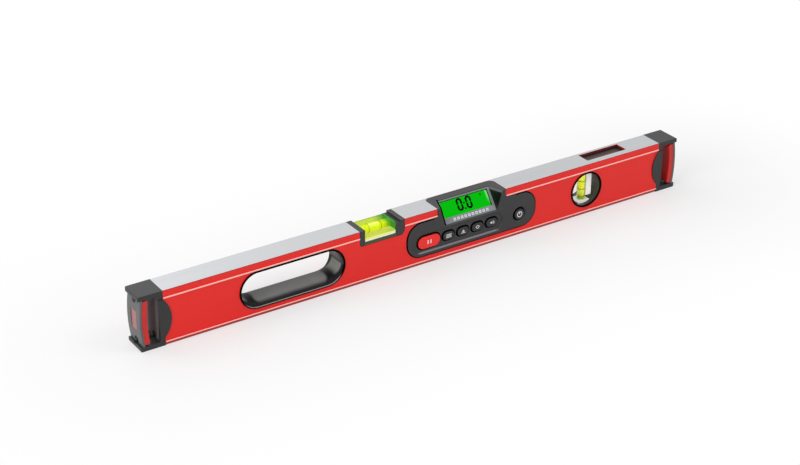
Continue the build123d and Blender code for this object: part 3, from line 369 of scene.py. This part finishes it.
def pad_surface():
    """Section carried along the liner's floor: crowned across, its crest level along the straight part.
    At both ends the crest turns up in an arc that runs out on the liner's own arc; each station's
    foot lies straight under the crest, or on the ray from the liner's centre through it."""
    crest_z = pad_high[2]
    rise = crest_z + END_BLEND - LINER_CENTRE_Z
    reach = np.sqrt((LINER_ARC - END_BLEND) ** 2 - rise ** 2)
    turn = np.linspace(0, END_TURN, TURN_POINTS)[1:]
    along = np.concatenate([
        np.linspace(-LINER_HALF, 0, STRAIGHT_POINTS),
        np.linspace(0, reach, REACH_POINTS)[1:],
        reach + END_BLEND * np.sin(turn),
    ])
    level_part = np.full(STRAIGHT_POINTS + REACH_POINTS - 1, crest_z)
    top = np.concatenate([level_part, crest_z + END_BLEND * (1 - np.cos(turn))])
    swing = np.arctan2(np.maximum(along, 0), LINER_CENTRE_Z - top)
    foot_x = np.minimum(along, 0) + LINER_ARC * np.sin(swing)
    foot_z = LINER_CENTRE_Z - LINER_ARC * np.cos(swing)
    foot = np.stack([foot_x, foot_z], 1)
    crown = np.stack([along, top], 1)
    across = np.linspace(-1, 1, ACROSS_POINTS)
    thickness = PAD_EDGE + (crest_z - pad_low[2] - PAD_EDGE) * (1 - across ** 2)
    rounding = np.minimum(1, (1 - np.abs(across)) * EDGE_STEEPNESS) ** 0.5
    upper = thickness / thickness.max() * rounding
    share = np.concatenate([upper, np.zeros(ACROSS_POINTS)])
    half_width = (pad_high[1] - pad_low[1]) / 2
    side = foot[:, None] + (crown - foot)[:, None] * share[None, :, None]
    grid = np.empty((*side.shape[:2], 3))
    grid[..., 0] = side[..., 0] + LINER_HALF
    grid[..., 1] = half_width * np.concatenate([across, across[::-1]])
    grid[..., 2] = side[..., 1]
    other_half = grid[:0:-1] * (-1, 1, 1)
    return np.concatenate([other_half, grid]) + (PAD_MIDDLE, 0, 0)


def beyond(place, centre, half):
    """Squared distance of a place u, v from a box about a centre with those half widths: what lies past
    the half width along each axis, squared, and both added."""
    over = [(abs(at - middle) - reach).larger(0.0) for at, middle, reach in zip(place, centre, half)]
    return over[0] * over[0] + over[1] * over[1]


LIP_FACE = 12.45 * MM
LIGHT_EDGE_RADIUS = 17.95 * MM
LIGHT_EDGE_FADE = (12 * MM, 20 * MM)

# The lip is dull, and its lower inner edge is light, which stands for a gloss that the
# photograph shows there.
grip_gloss = moulded("grip_gloss", colour(30, 30, 31), colour(38, 38, 39), 0.2, 0.3 * MM, 0.01 * MM)
grip_x, grip_y, grip_z = grip_gloss.axes()
hole_centre = (PAD_MIDDLE * MM, LINER_CENTRE_Z * MM)
off_middle = beyond((grip_x, grip_z), hole_centre, (LINER_HALF * MM, 0.0))
lip = abs(grip_y) > LIP_FACE
lit_edge = lip * (off_middle < LIGHT_EDGE_RADIUS ** 2) * (1 - grip_gloss.ramp(grip_z, *LIGHT_EDGE_FADE))
grip_gloss.tint(lit_edge, colour(156, 152, 150))
grip_gloss.dull(lip * (1 - lit_edge), colour(10, 10, 11))
paint(grip_gloss, "grip_front_shell", "grip_rear_shell")

REAR_SHADE_FADE = (-5 * MM, 8 * MM)
CROWN_HALF = (33.5 * MM, 5.5 * MM)
CROWN_FADE = (2 * MM, 6.5 * MM)
CLIMB_START = (44 * MM, 51 * MM)
CLIMB_SIDE = (7 * MM, 10 * MM)

# The crown of the pad is grey. Its darker rear is a painted shade, its dark flanks too, and the light
# ends, where it climbs, are painted light.
pad_rubber = moulded("pad_rubber", colour(112, 111, 110), colour(136, 135, 134), 0.5, 0.2 * MM, 0.03 * MM)
pad_rubber.set({"Specular IOR Level": 0.2})
pad_x, pad_y, _ = pad_rubber.axes()
pad_rubber.tint(pad_rubber.ramp(pad_y, *REAR_SHADE_FADE), colour(86, 86, 88))
off_crown = beyond((pad_x, pad_y), (PAD_MIDDLE * MM, 0.0), CROWN_HALF)
climb = pad_rubber.ramp(abs(pad_x - PAD_MIDDLE * MM), *CLIMB_START)
climb = climb * (1 - pad_rubber.ramp(abs(pad_y), *CLIMB_SIDE))
flank = pad_rubber.mix(climb, colour(10, 10, 11), colour(140, 140, 134))
pad_rubber.tint(pad_rubber.ramp(off_crown, CROWN_FADE[0] ** 2, CROWN_FADE[1] ** 2), flank)
grip_pad = piece("grip_pad_soft", [skin(pad_surface(), False)], pad_rubber, "frame")
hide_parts("grip_pad")


# Level vial: a clear acrylic block cast around a barrel bore, filled with yellow-green
# spirit, with two rings; it sits on a white plate in a black cradle.

def clear(name, strength):
    """Polished clear plastic or liquid, and the slow swirl in it. It glows a little at the given strength:
    painted light that brightens it."""
    finish = Finish(name, {"IOR": 1.45, "Emission Strength": strength})
    swirl = finish.noise((120, 240, 240))
    finish.set({"Roughness": 0.05 + 0.05 * swirl})
    return finish, swirl


def dyed(name, dye, painted_glow, strength, cover):
    """Clear plastic or liquid in one dye, darker by a tenth along the swirl, that covers a share of what
    is behind it."""
    finish, swirl = clear(name, strength)
    darker = (*(0.9 * part for part in dye[:3]), 1.0)
    finish.set({
        "Base Color": finish.mix(swirl, dye, darker),
        "Emission Color": painted_glow,
        "Alpha": cover + 0.06 * swirl,
    })
    return finish


block_low, block_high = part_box("level_vial_body")
GREEN_END = (-51 * MM, -42 * MM)
FOOT_HEIGHT = 2.2 * MM
BORE_UNDERSIDE = (45.2 * MM, 47.4 * MM)
REAR_WALL = 0.4 * MM
REAR_EDGE_REFLECTION = 2.6 * MM

# The block is yellow, and greener towards its right end and along its rear wall.
# Its pale foot is painted light from the white plate under it; the dark top rear edge is a painted
# reflection.
block, _ = clear("block", 0.28)
block_x, block_y, block_z = block.axes()
green_end = block.ramp(block_x, *GREEN_END)
pale_foot_light = block_z < block_low.z + FOOT_HEIGHT
under_bore = 1 - block.ramp(block_z, *BORE_UNDERSIDE)
rear_wall = block_y > block_high.y - REAR_WALL
rear_edge_reflection = block_y + block_z > block_high.y + block_high.z - REAR_EDGE_REFLECTION
rear_dye = block.mix(green_end, colour(170, 196, 40), colour(60, 140, 40))
block_dye = block.mix(green_end, colour(204, 222, 2), colour(64, 172, 28))
block_dye = block.mix(rear_wall, block_dye, rear_dye)
block_dye = block.mix(rear_edge_reflection, block_dye, colour(92, 116, 24))
block_dye = block.mix(pale_foot_light, block_dye, colour(222, 228, 140))
block.set({
    "Base Color": block_dye,
    "Emission Color": block_dye,
    "Specular IOR Level": 0.06,
    "Alpha": 0.34 + 0.54 * under_bore + 0.56 * rear_wall * (1 - under_bore) + 0.2 * rear_edge_reflection,
})
paint(block, "level_vial_body")

cradle_plastic = moulded("cradle_plastic", colour(30, 31, 32), colour(42, 43, 44), 0.38, 0.3 * MM)
cradle_x, _, _ = cradle_plastic.axes()
# Under the block the black cradle is painted olive: painted light, the green of the block cast onto it.
cradle_plastic.tint(cradle_x.between(block_low.x, block_high.x), colour(56, 70, 28))
paint(cradle_plastic, "vial_cradle")

plug_green = moulded("plug_green", colour(112, 150, 30), colour(132, 168, 40), 0.35, 0.2 * MM, 0.01 * MM)
paint(plug_green, "level_vial_plug")

white_shades = (colour(244, 244, 242), colour(252, 252, 250))
white_plastic = moulded("white_plastic", *white_shades, 0.4, 0.3 * MM, 0.01 * MM)
# A faint glow is painted light that brightens the white plastic in the shade of the windows.
white_plastic.set({"Emission Color": colour(255, 253, 236), "Emission Strength": 0.14})
paint(white_plastic, "level_reflector")

level_spirit = dyed("level_spirit", colour(206, 220, 0), colour(208, 222, 0), 0.55, 0.5)
paint(level_spirit, "level_vial_liquid")

bubble_air = dyed("bubble_air", colour(244, 250, 196), colour(240, 250, 190), 0.55, 0.85)
paint(bubble_air, "level_bubble")

ring_print = moulded("ring_print", colour(12, 12, 12), colour(20, 20, 20), 0.4, 0.05 * MM, 0.005 * MM)
paint(ring_print, "level_vial_rings")


# Round window: a black bezel and sleeve from each side, with an upright acrylic vial in a
# white holder between them.
RING_FACE = 11.8 * MM

bezel_plastic = moulded("bezel_plastic", colour(50, 50, 51), colour(62, 62, 63), 0.3, 0.3 * MM)
_, bezel_y, _ = bezel_plastic.axes()
bezel_plastic.dull(abs(bezel_y) > RING_FACE, colour(14, 14, 15))
paint(bezel_plastic, "plumb_front_bezel", "plumb_rear_bezel")

acrylic = dyed("acrylic", colour(226, 240, 120), colour(196, 232, 24), 0.05, 0.2)
paint(acrylic, "plumb_vial_body")

plumb_spirit = dyed("plumb_spirit", colour(220, 222, 0), colour(224, 224, 0), 0.8, 0.45)
paint(plumb_spirit, "plumb_vial_liquid")

paint(white_plastic, "plumb_holder")
paint(plug_green, "plumb_vial_plug")
paint(bubble_air, "plumb_bubble")
paint(ring_print, "plumb_vial_rings")


# Sight slot: a smoked tray glued under the slot's edge, and below it a strip of silvered
# acrylic on a slanted black bracket, which shows the upright vial from above.
TRAY_FLOOR = 50.5 * MM

smoke_and_shade = moulded("smoke_and_shade", colour(80, 68, 66), colour(90, 77, 75), 0.4, 0.1 * MM, 0.002 * MM)
_, _, tray_z = smoke_and_shade.axes()
# Reddish cast: painted reflection of the red walls; the rim above TRAY_FLOOR, under the flange: painted
# shade.
smoke_and_shade.tint(tray_z > TRAY_FLOOR, colour(8, 8, 8))
paint(smoke_and_shade, "sight_lens")

silver = Finish("silver", {"Metallic": 1.0})
haze = silver.noise((300, 300, 300))
silver.set({
    "Base Color": silver.mix(haze, colour(176, 178, 180), colour(196, 198, 200)),
    "Roughness": 0.04 + 0.06 * haze,
})
paint(silver, "sight_mirror")
paint(cradle_plastic, "mirror_bracket")


# Angle module: front and rear cases moulded in matt charcoal plastic, held together by four
# plated screws from behind, through the profile's web.
KEYS = ("power_button", "hold_button", "mode_button", "memory_button", "calibrate_button", "sound_button")
KEY_SHADE = 0.8 * MM
KEY_SHADOW_SHIFT = 0.4 * MM
SLOPE_ORIGIN = np.array([0.0, -12.5, 34.7])
SLOPE_BACK = 15.5
SLOPE_CLIMB = 20.3
SLOPE_LENGTH = np.hypot(SLOPE_BACK, SLOPE_CLIMB)
SLOPE_RISE = np.array([0.0, SLOPE_BACK, SLOPE_CLIMB]) / SLOPE_LENGTH
SLOPE_OUT = np.array([0.0, -SLOPE_CLIMB, SLOPE_BACK]) / SLOPE_LENGTH
FRAME_LEFT = 18.4 * MM
FRAME_GAP = 1.5 * MM
FRAME_GAP_LOW = 35.2 * MM
FLARE = np.tan(np.radians(26))
RECESS_X = (77.7 * MM, 90 * MM)
RECESS_FRONT = -12.9 * MM
RECESS_Z = (34 * MM, 54.5 * MM)
RECESS_TOP = 52.2 * MM
LEDGE_X = (-14 * MM, 80 * MM)
LEDGE_Z = (12.2 * MM, 13.9 * MM)
NECK_X = (4 * MM, 100 * MM)
NECK_LOW = 34 * MM
PLATE_CENTRE = (48.8 * MM, 27.5 * MM)
PLATE_HALF = (59.3 * MM, 2.3 * MM)
PLATE_ROUND = 15.5 * MM

case_shades = (colour(34, 35, 36), colour(44, 45, 46))
case_plastic = moulded("case_plastic", *case_shades, 0.44, 0.4 * MM, 0.035 * MM)
case_x, case_y, case_z = case_plastic.axes()
recess = case_x.between(*RECESS_X) * (case_y > RECESS_FRONT) * case_z.between(*RECESS_Z)
painted_recess_highlight = recess * (case_z > RECESS_TOP)
ledge = case_z.between(*LEDGE_Z) * case_x.between(*LEDGE_X)

# Dark lines, partly real joints and partly painted shade: round the faceplate, along the flared wall left of
# the display frame, and round each key, where the painted shadow reaches a little further up and left.
slope_y = (case_y - SLOPE_ORIGIN[1] * MM) * SLOPE_OUT[1]
slope_z = (case_z - SLOPE_ORIGIN[2] * MM) * SLOPE_OUT[2]
flared_x = case_x + FLARE * (slope_y + slope_z)
frame_gap_shade = (flared_x > FRAME_LEFT - FRAME_GAP) * (case_x < FRAME_LEFT) * (case_z > FRAME_GAP_LOW)
neck = (case_z > NECK_LOW) * case_x.between(*NECK_X)
front = (case_x, case_z)
plate_seam_shade = beyond(front, PLATE_CENTRE, PLATE_HALF) > PLATE_ROUND ** 2
seams_and_shade = plate_seam_shade * (1 - neck) + frame_gap_shade
for key in KEYS:
    key_low, key_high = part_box(key)
    key_radius = (key_high.z - key_low.z) / 2
    key_straight = (key_high.x - key_low.x) / 2 - key_radius
    key_middle = ((key_low.x + key_high.x) / 2 - KEY_SHADOW_SHIFT, (key_low.z + key_high.z) / 2 + KEY_SHADOW_SHIFT)
    off_key = beyond(front, key_middle, (key_straight, 0.0))
    seams_and_shade = seams_and_shade.larger(off_key < (key_radius + KEY_SHADE) ** 2)

# The light ledge under the keys stands for light in the photograph. The recess beside the display is
# painted near black as shade, with a painted highlight along its top. Both are smoother than the rest.
case_plastic.tint(ledge, colour(88, 88, 96))
case_plastic.tint(recess, colour(6, 6, 7))
case_plastic.tint(painted_recess_highlight, colour(96, 98, 100))
case_plastic.set({"Roughness": 0.5 - 0.36 * recess - 0.2 * ledge})
case_plastic.dull(seams_and_shade, colour(6, 6, 7))
paint(case_plastic, "module_front_case")

rear_plastic = moulded("rear_plastic", *case_shades, 0.44, 0.4 * MM, 0.035 * MM)
paint(rear_plastic, "module_rear_case")

screw_steel = turned("screw_steel", colour(120, 122, 124), colour(178, 180, 182), 1.0, 0.28)
paint(screw_steel, "module_screws")


# Display: a grey frame and a liquid crystal glass lit from behind by a green light guide.
# The figures are dark segments on the glass, and a row of plain marks is printed on the frame.
GLASS_DEPTH = 1.6
FIELD_CENTRE = (47.05 * MM, 56.9 * MM)
FIELD_HALF = (27.65 * MM, 8.1 * MM)
FIELD_ROUND = 1.7 * MM
SPILL_X = (71.5 * MM, 74.6 * MM)
SPILL_Z = (40 * MM, 48 * MM)

frame_shades = (colour(116, 118, 123), colour(134, 136, 141))
frame_plastic = moulded("frame_plastic", *frame_shades, 0.42, 0.2 * MM, 0.015 * MM)
paint(frame_plastic, "display_bezel")

# The pale right edge of the lit field stands for light in the photograph.
glass_green = Finish("glass_green", {"Emission Strength": 0.9, "Roughness": 0.4, "Specular IOR Level": 0.02})
glass_x, _, glass_z = glass_green.axes()
cell_grain = glass_green.noise((1500, 1500, 1500), 1.0)
upslope = glass_z * (1 / SLOPE_RISE[2])
field_straight = [half - FIELD_ROUND for half in FIELD_HALF]
# The dark margin round the lit field is a painted shadow of the frame.
painted_frame_shadow = beyond((glass_x, upslope), FIELD_CENTRE, field_straight) > FIELD_ROUND ** 2
spill = glass_green.ramp(glass_x, *SPILL_X) * glass_green.ramp(glass_z, *SPILL_Z)
lit_green = glass_green.mix(spill, colour(0, 192, 8), colour(140, 240, 140))
glass_green.set({
    "Base Color": glass_green.mix(cell_grain, colour(0, 40, 2), colour(0, 50, 3)),
    "Emission Color": glass_green.mix(painted_frame_shadow, lit_green, colour(0, 22, 2)),
})
paint(glass_green, "display_panel")

guide_plastic = moulded("guide_plastic", colour(170, 215, 170), colour(190, 232, 190), 0.3, 0.2 * MM)
paint(guide_plastic, "backlight")


def ribbon(path, width, face, thickness, closed=False):
    """Flat strip carried along a path of points u, v on a face (origin, u axis, v axis, outward):
    half the width lies on each side of the path and the thickness goes outwards."""
    origin, u_axis, v_axis, out = face
    path = np.asarray(path, float)
    if closed:
        tangent = np.roll(path, -1, 0) - np.roll(path, 1, 0)
    else:
        tangent = np.gradient(path, axis=0)
    tangent /= np.linalg.norm(tangent, axis=1, keepdims=True)
    half_width = np.broadcast_to(width, len(path))[:, None] / 2
    side = np.stack([-tangent[:, 1], tangent[:, 0]], 1) * half_width
    edges = np.stack([path + side, path - side, path - side, path + side], 1)
    lift = np.array([thickness, thickness, 0, 0])[None, :, None]
    grid = origin + edges[..., :1] * u_axis + edges[..., 1:] * v_axis + lift * out
    return skin(grid, closed)


BLUNT_TIP = 1e-3
TIP_SHARE = 0.15


def stroke(start, end, width, taper=0.0):
    """Four points and widths of a straight bar: its ends, and a place near each end. A taper draws the
    ends nearly to points over that length."""
    start = np.asarray(start, float)
    end = np.asarray(end, float)
    length = np.linalg.norm(end - start)
    tip = max(taper, BLUNT_TIP)
    share = np.array([0, tip, length - tip, length]) / length
    end_share = TIP_SHARE if taper else 1.0
    widths = width * np.array([end_share, 1, 1, end_share])
    return start + share[:, None] * (end - start), widths


def circle(centre_u, centre_v, radius, count=24, start=0.0, sweep=2 * np.pi):
    """Points of an arc about a centre, evenly spaced in angle; a full turn leaves its last point out."""
    angle = start + np.linspace(0, sweep, count, endpoint=sweep < 2 * np.pi)
    return np.stack([centre_u + radius * np.cos(angle), centre_v + radius * np.sin(angle)], 1)


ALONG = np.array([1.0, 0, 0])
glass_face = (SLOPE_ORIGIN - SLOPE_OUT * GLASS_DEPTH, ALONG, SLOPE_RISE, SLOPE_OUT)
INK_THICKNESS = 0.05
DIGIT_LEFTS = (38.8, 49.4)
DIGIT_LOW = 10.4
DIGIT_WIDTH = 4.6
DIGIT_HEIGHT = 10.6
SEGMENT_WIDTH = 2.2
SEGMENT_TAPER = 0.6
SEGMENT_GAP = 0.1
DOT_SPAN = (45.5, 47.2)
DOT_HEIGHTS = (10.6, 16.2)
DOT_WIDTH = 1.7
DEGREE_CENTRE = (66.5, 19.6)
DEGREE_RADIUS = 0.9
DEGREE_WIDTH = 0.5


def zero_digit(left):
    """Six lit bars of a seven-bar figure: two across, at the bottom and the top, and two up each side."""
    right = left + DIGIT_WIDTH
    high = DIGIT_LOW + DIGIT_HEIGHT
    middle = DIGIT_LOW + DIGIT_HEIGHT / 2
    gap = SEGMENT_GAP
    bars = [((left + gap, level), (right - gap, level)) for level in (DIGIT_LOW, high)]
    for side in (left, right):
        bars += [((side, DIGIT_LOW + gap), (side, middle - gap)), ((side, middle + gap), (side, high - gap))]
    strokes = [stroke(start, end, SEGMENT_WIDTH, SEGMENT_TAPER) for start, end in bars]
    return [ribbon(*strip, glass_face, INK_THICKNESS) for strip in strokes]


segment_ink = moulded("segment_ink", colour(2, 14, 4), colour(3, 18, 5), 0.6, 0.02 * MM, 0.002 * MM)
segment_ink.set({"Specular IOR Level": 0.02})
figures = []
for digit_left in DIGIT_LEFTS:
    figures += zero_digit(digit_left)
for dot_v in DOT_HEIGHTS:
    dot = stroke((DOT_SPAN[0], dot_v), (DOT_SPAN[1], dot_v), DOT_WIDTH)
    figures.append(ribbon(*dot, glass_face, INK_THICKNESS))
degree = circle(*DEGREE_CENTRE, DEGREE_RADIUS)
figures.append(ribbon(degree, DEGREE_WIDTH, glass_face, INK_THICKNESS, True))
piece("display_figures", figures, segment_ink, "frame", smooth=False)

frame_face = (SLOPE_ORIGIN, ALONG, SLOPE_RISE, SLOPE_OUT)
FRAME_MARKS = 10
FRAME_MARK_START = 28.6
FRAME_MARK_STEP = 4.25
FRAME_MARK_WIDTH = 1.9
FRAME_MARK_LOW = 2.6
FRAME_MARK_HIGH = 4.4
FRAME_MARK_LINE = 0.9

white_ink = moulded("white_ink", colour(226, 228, 230), colour(240, 241, 242), 0.45, 0.02 * MM, 0.004 * MM)
marks = []
for number in range(FRAME_MARKS):
    left = FRAME_MARK_START + FRAME_MARK_STEP * number
    right = left + FRAME_MARK_WIDTH
    lower_edge = [(left, FRAME_MARK_LOW), (right, FRAME_MARK_LOW)]
    upper_edge = [(right, FRAME_MARK_HIGH), (left, FRAME_MARK_HIGH)]
    marks.append(ribbon(lower_edge + upper_edge, FRAME_MARK_LINE, frame_face, INK_THICKNESS, True))
piece("frame_marks", marks, white_ink, "frame", smooth=False)


# Buttons: silicone keys behind the faceplate, five in the sunken key field and the power
# key in its own dish. Plain marks are printed on them.
key_rubber = moulded("key_rubber", colour(22, 22, 23), colour(30, 30, 31), 0.32, 0.3 * MM, 0.01 * MM)
hold_rubber = moulded("hold_rubber", colour(238, 22, 16), colour(248, 32, 24), 0.34, 0.3 * MM, 0.01 * MM)
for key in KEYS:
    paint(hold_rubber if key == "hold_button" else key_rubber, key)

PRINT_THICKNESS = 0.04
UPWARDS = np.array([0, 0, 1.0])
FORWARDS = np.array([0, -1.0, 0])


def key_face(node):
    """Face at the middle of a key's front: u along X, v up, outwards to the front."""
    low, high = (np.array(corner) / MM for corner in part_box(node))
    middle = (low + high) / 2
    origin = np.array([middle[0], low[1], middle[2]])
    return origin, ALONG, UPWARDS, FORWARDS


def printed(node, strips):
    """Marks on a key: each strip is a path in millimetres, a width and whether it closes."""
    face = key_face(node)
    skins = [ribbon(path, width, face, PRINT_THICKNESS, closed) for path, width, closed in strips]
    piece(node.replace("_button", "_mark"), skins, white_ink, node, smooth=False)


def bar(start_u, start_v, end_u, end_v, width):
    """A straight strip between two points."""
    return (*stroke((start_u, start_v), (end_u, end_v), width), False)


WAVE_CENTRE = 0.2
WAVE_POINTS = 12
WAVE_SWEEP = 1.6
WAVE_LINE = 0.45


def wave(radius):
    """An arc to the right of the horn's mouth, as far above the middle as below it."""
    return circle(WAVE_CENTRE, 0, radius, WAVE_POINTS, -WAVE_SWEEP / 2, WAVE_SWEEP), WAVE_LINE, False


POWER_LINE = 0.8
HOLD_LINE = 1.2
MODE_LINE = 0.7
MEMORY_LINE = 0.7
CALIBRATE_LINE = 0.6


# A ring with a bar for power, two bars to hold and three lines for the mode.
power_ring = (circle(0, 0, 2.75, 32), POWER_LINE, True)
printed("power_button", [power_ring, bar(0, -0.2, 0, 2.6, POWER_LINE)])
printed("hold_button", [bar(u, -2.0, u, 2.0, HOLD_LINE) for u in (-1.6, 1.6)])
printed("mode_button", [bar(-3, v, 3, v, MODE_LINE) for v in (1.5, 0, -1.5)])

# An arrow onto a line for the memory, a ring between two lines to calibrate and a horn for sound.
under_line = bar(-2.4, -1.5, 2.4, -1.5, MEMORY_LINE)
arrow_shaft = bar(0, 1.8, 0, -0.7, MEMORY_LINE)
arrow_head = [bar(u, 0.6, 0, -0.7, MEMORY_LINE) for u in (-1.3, 1.3)]
printed("memory_button", [under_line, arrow_shaft, *arrow_head])
calibrate_ring = (circle(0, 0, 1.5), CALIBRATE_LINE, True)
side_lines = [bar(*ends, CALIBRATE_LINE) for ends in ((-2.6, 0, -1.0, 0), (1.0, 0, 2.6, 0))]
printed("calibrate_button", [calibrate_ring, *side_lines])
horn = ([(-2.0, 0), (-0.9, 0), (0.4, 0)], np.array([1.2, 1.2, 3.2]), False)
printed("sound_button", [horn, wave(1.4), wave(2.4)])


# Electronics and power: a circuit board with its switches, sensor and sounder behind the
# keys, and two cells between plated contacts behind the rear door, which snaps in.
board_mask = moulded("board_mask", colour(18, 82, 40), colour(24, 100, 48), 0.35, 0.1 * MM)
paint(board_mask, "main_board")

chip_resin = moulded("chip_resin", colour(20, 20, 20), colour(30, 30, 30), 0.5, 0.1 * MM)
paint(chip_resin, "tilt_sensor", "buzzer")

cell_jacket = moulded("cell_jacket", colour(60, 64, 70), colour(76, 80, 86), 0.3, 0.2 * MM, 0.004 * MM)
paint(cell_jacket, "battery_cells")

paint(screw_steel, "dome_switches", "battery_contacts")
paint(rear_plastic, "battery_door")


# Studio: a pale floor that runs out of view, an even white surround and three large soft
# lamps, seen by a camera where the photograph was taken from.

def shown(finish):
    """1 for a ray that shows the studio itself, straight, in a gloss or through glass, and 0 for one that
    carries light to the object: the largest of three marks of the ray."""
    rays = finish.node("ShaderNodeLightPath", {}, {}).outputs
    kinds = ("Is Camera Ray", "Is Glossy Ray", "Is Transmission Ray")
    straight, glossy, through = (Value(finish, rays[kind]) for kind in kinds)
    return straight.larger(glossy).larger(through)


SURROUND_LIGHT = 0.5

surround = Finish("surround", {"Color": (1, 1, 1, 1)}, "worlds", "Background")
surround.set({"Strength": SURROUND_LIGHT + (1 - SURROUND_LIGHT) * shown(surround)})
bpy.context.scene.world = surround.data

FLOOR_REACH = 6
NEAR_WHITE = 0.48
WHITE_REACH = 0.25

# The floor shows partly white close to the level, so that it keeps the shadow, and fully
# white further out.
floor_mesh = bpy.data.meshes.new("floor")
floor_corners = [(x * FLOOR_REACH, y * FLOOR_REACH, 0) for x, y in ((-1, -1), (1, -1), (1, 1), (-1, 1))]
floor_mesh.from_pydata(floor_corners, [], [(0, 1, 2, 3)])
floor = bpy.data.objects.new("floor", floor_mesh)
bpy.context.scene.collection.objects.link(floor)
floor_paper = Finish("floor_paper", {
    "Base Color": (0.8, 0.8, 0.8, 1), "Roughness": 0.9, "Specular IOR Level": 0.1})
floor_x, floor_y, _ = floor_paper.axes()
past_end = (abs(floor_x) - cad_box[1][0]).larger(0.0)
spread = past_end.math("SQRT", past_end * past_end + floor_y * floor_y)
white_share = NEAR_WHITE + (1 - NEAR_WHITE) * floor_paper.ramp(spread, 0.0, WHITE_REACH)
white = floor_paper.node("ShaderNodeEmission", {}, {"Strength": 1.0})
floor_paper.cover(shown(floor_paper) * white_share, white)
floor_mesh.materials.append(floor_paper.data)


def lamp(name, place, size, watts):
    """Square area lamp that faces the origin: its back points away from there, and its right is level."""
    light = bpy.data.lights.new(name, "AREA")
    light.size = size
    light.energy = watts
    made = bpy.data.objects.new(name, light)
    bpy.context.scene.collection.objects.link(made)
    made.location = place
    back = np.array(place) / np.linalg.norm(place)
    right = np.cross((0, 0, 1), back)
    right /= np.linalg.norm(right)
    made.rotation_euler = Matrix(np.stack([right, np.cross(back, right), back], 1).tolist()).to_euler()


lamp("left_lamp", (-1.7, -0.5, 1.1), 1.2, 20)
lamp("top_lamp", (0.75, -0.65, 1.15), 0.8, 5)
lamp("back_lamp", (-0.45, 1.05, 1.25), 2.0, 12)

CAMERA_PLACE = (-0.86146, -1.26951, 0.82495)
CAMERA_RIGHT = (0.83607646, -0.54860821, 0.00227715)
CAMERA_UP = (0.25154611, 0.38703725, 0.8870889)
CAMERA_BACK = (-0.4875456, -0.74110134, 0.461593)
camera_data = bpy.data.cameras.new("camera")
camera_data.sensor_width = 36
camera_data.lens = 81.456
camera = bpy.data.objects.new("camera", camera_data)
bpy.context.scene.collection.objects.link(camera)
camera_turn = Matrix(np.stack([CAMERA_RIGHT, CAMERA_UP, CAMERA_BACK], 1).tolist())
camera.matrix_world = Matrix.Translation(CAMERA_PLACE) @ camera_turn.to_4x4()
bpy.context.scene.camera = camera
bpy.context.scene.view_settings.view_transform = "Standard"
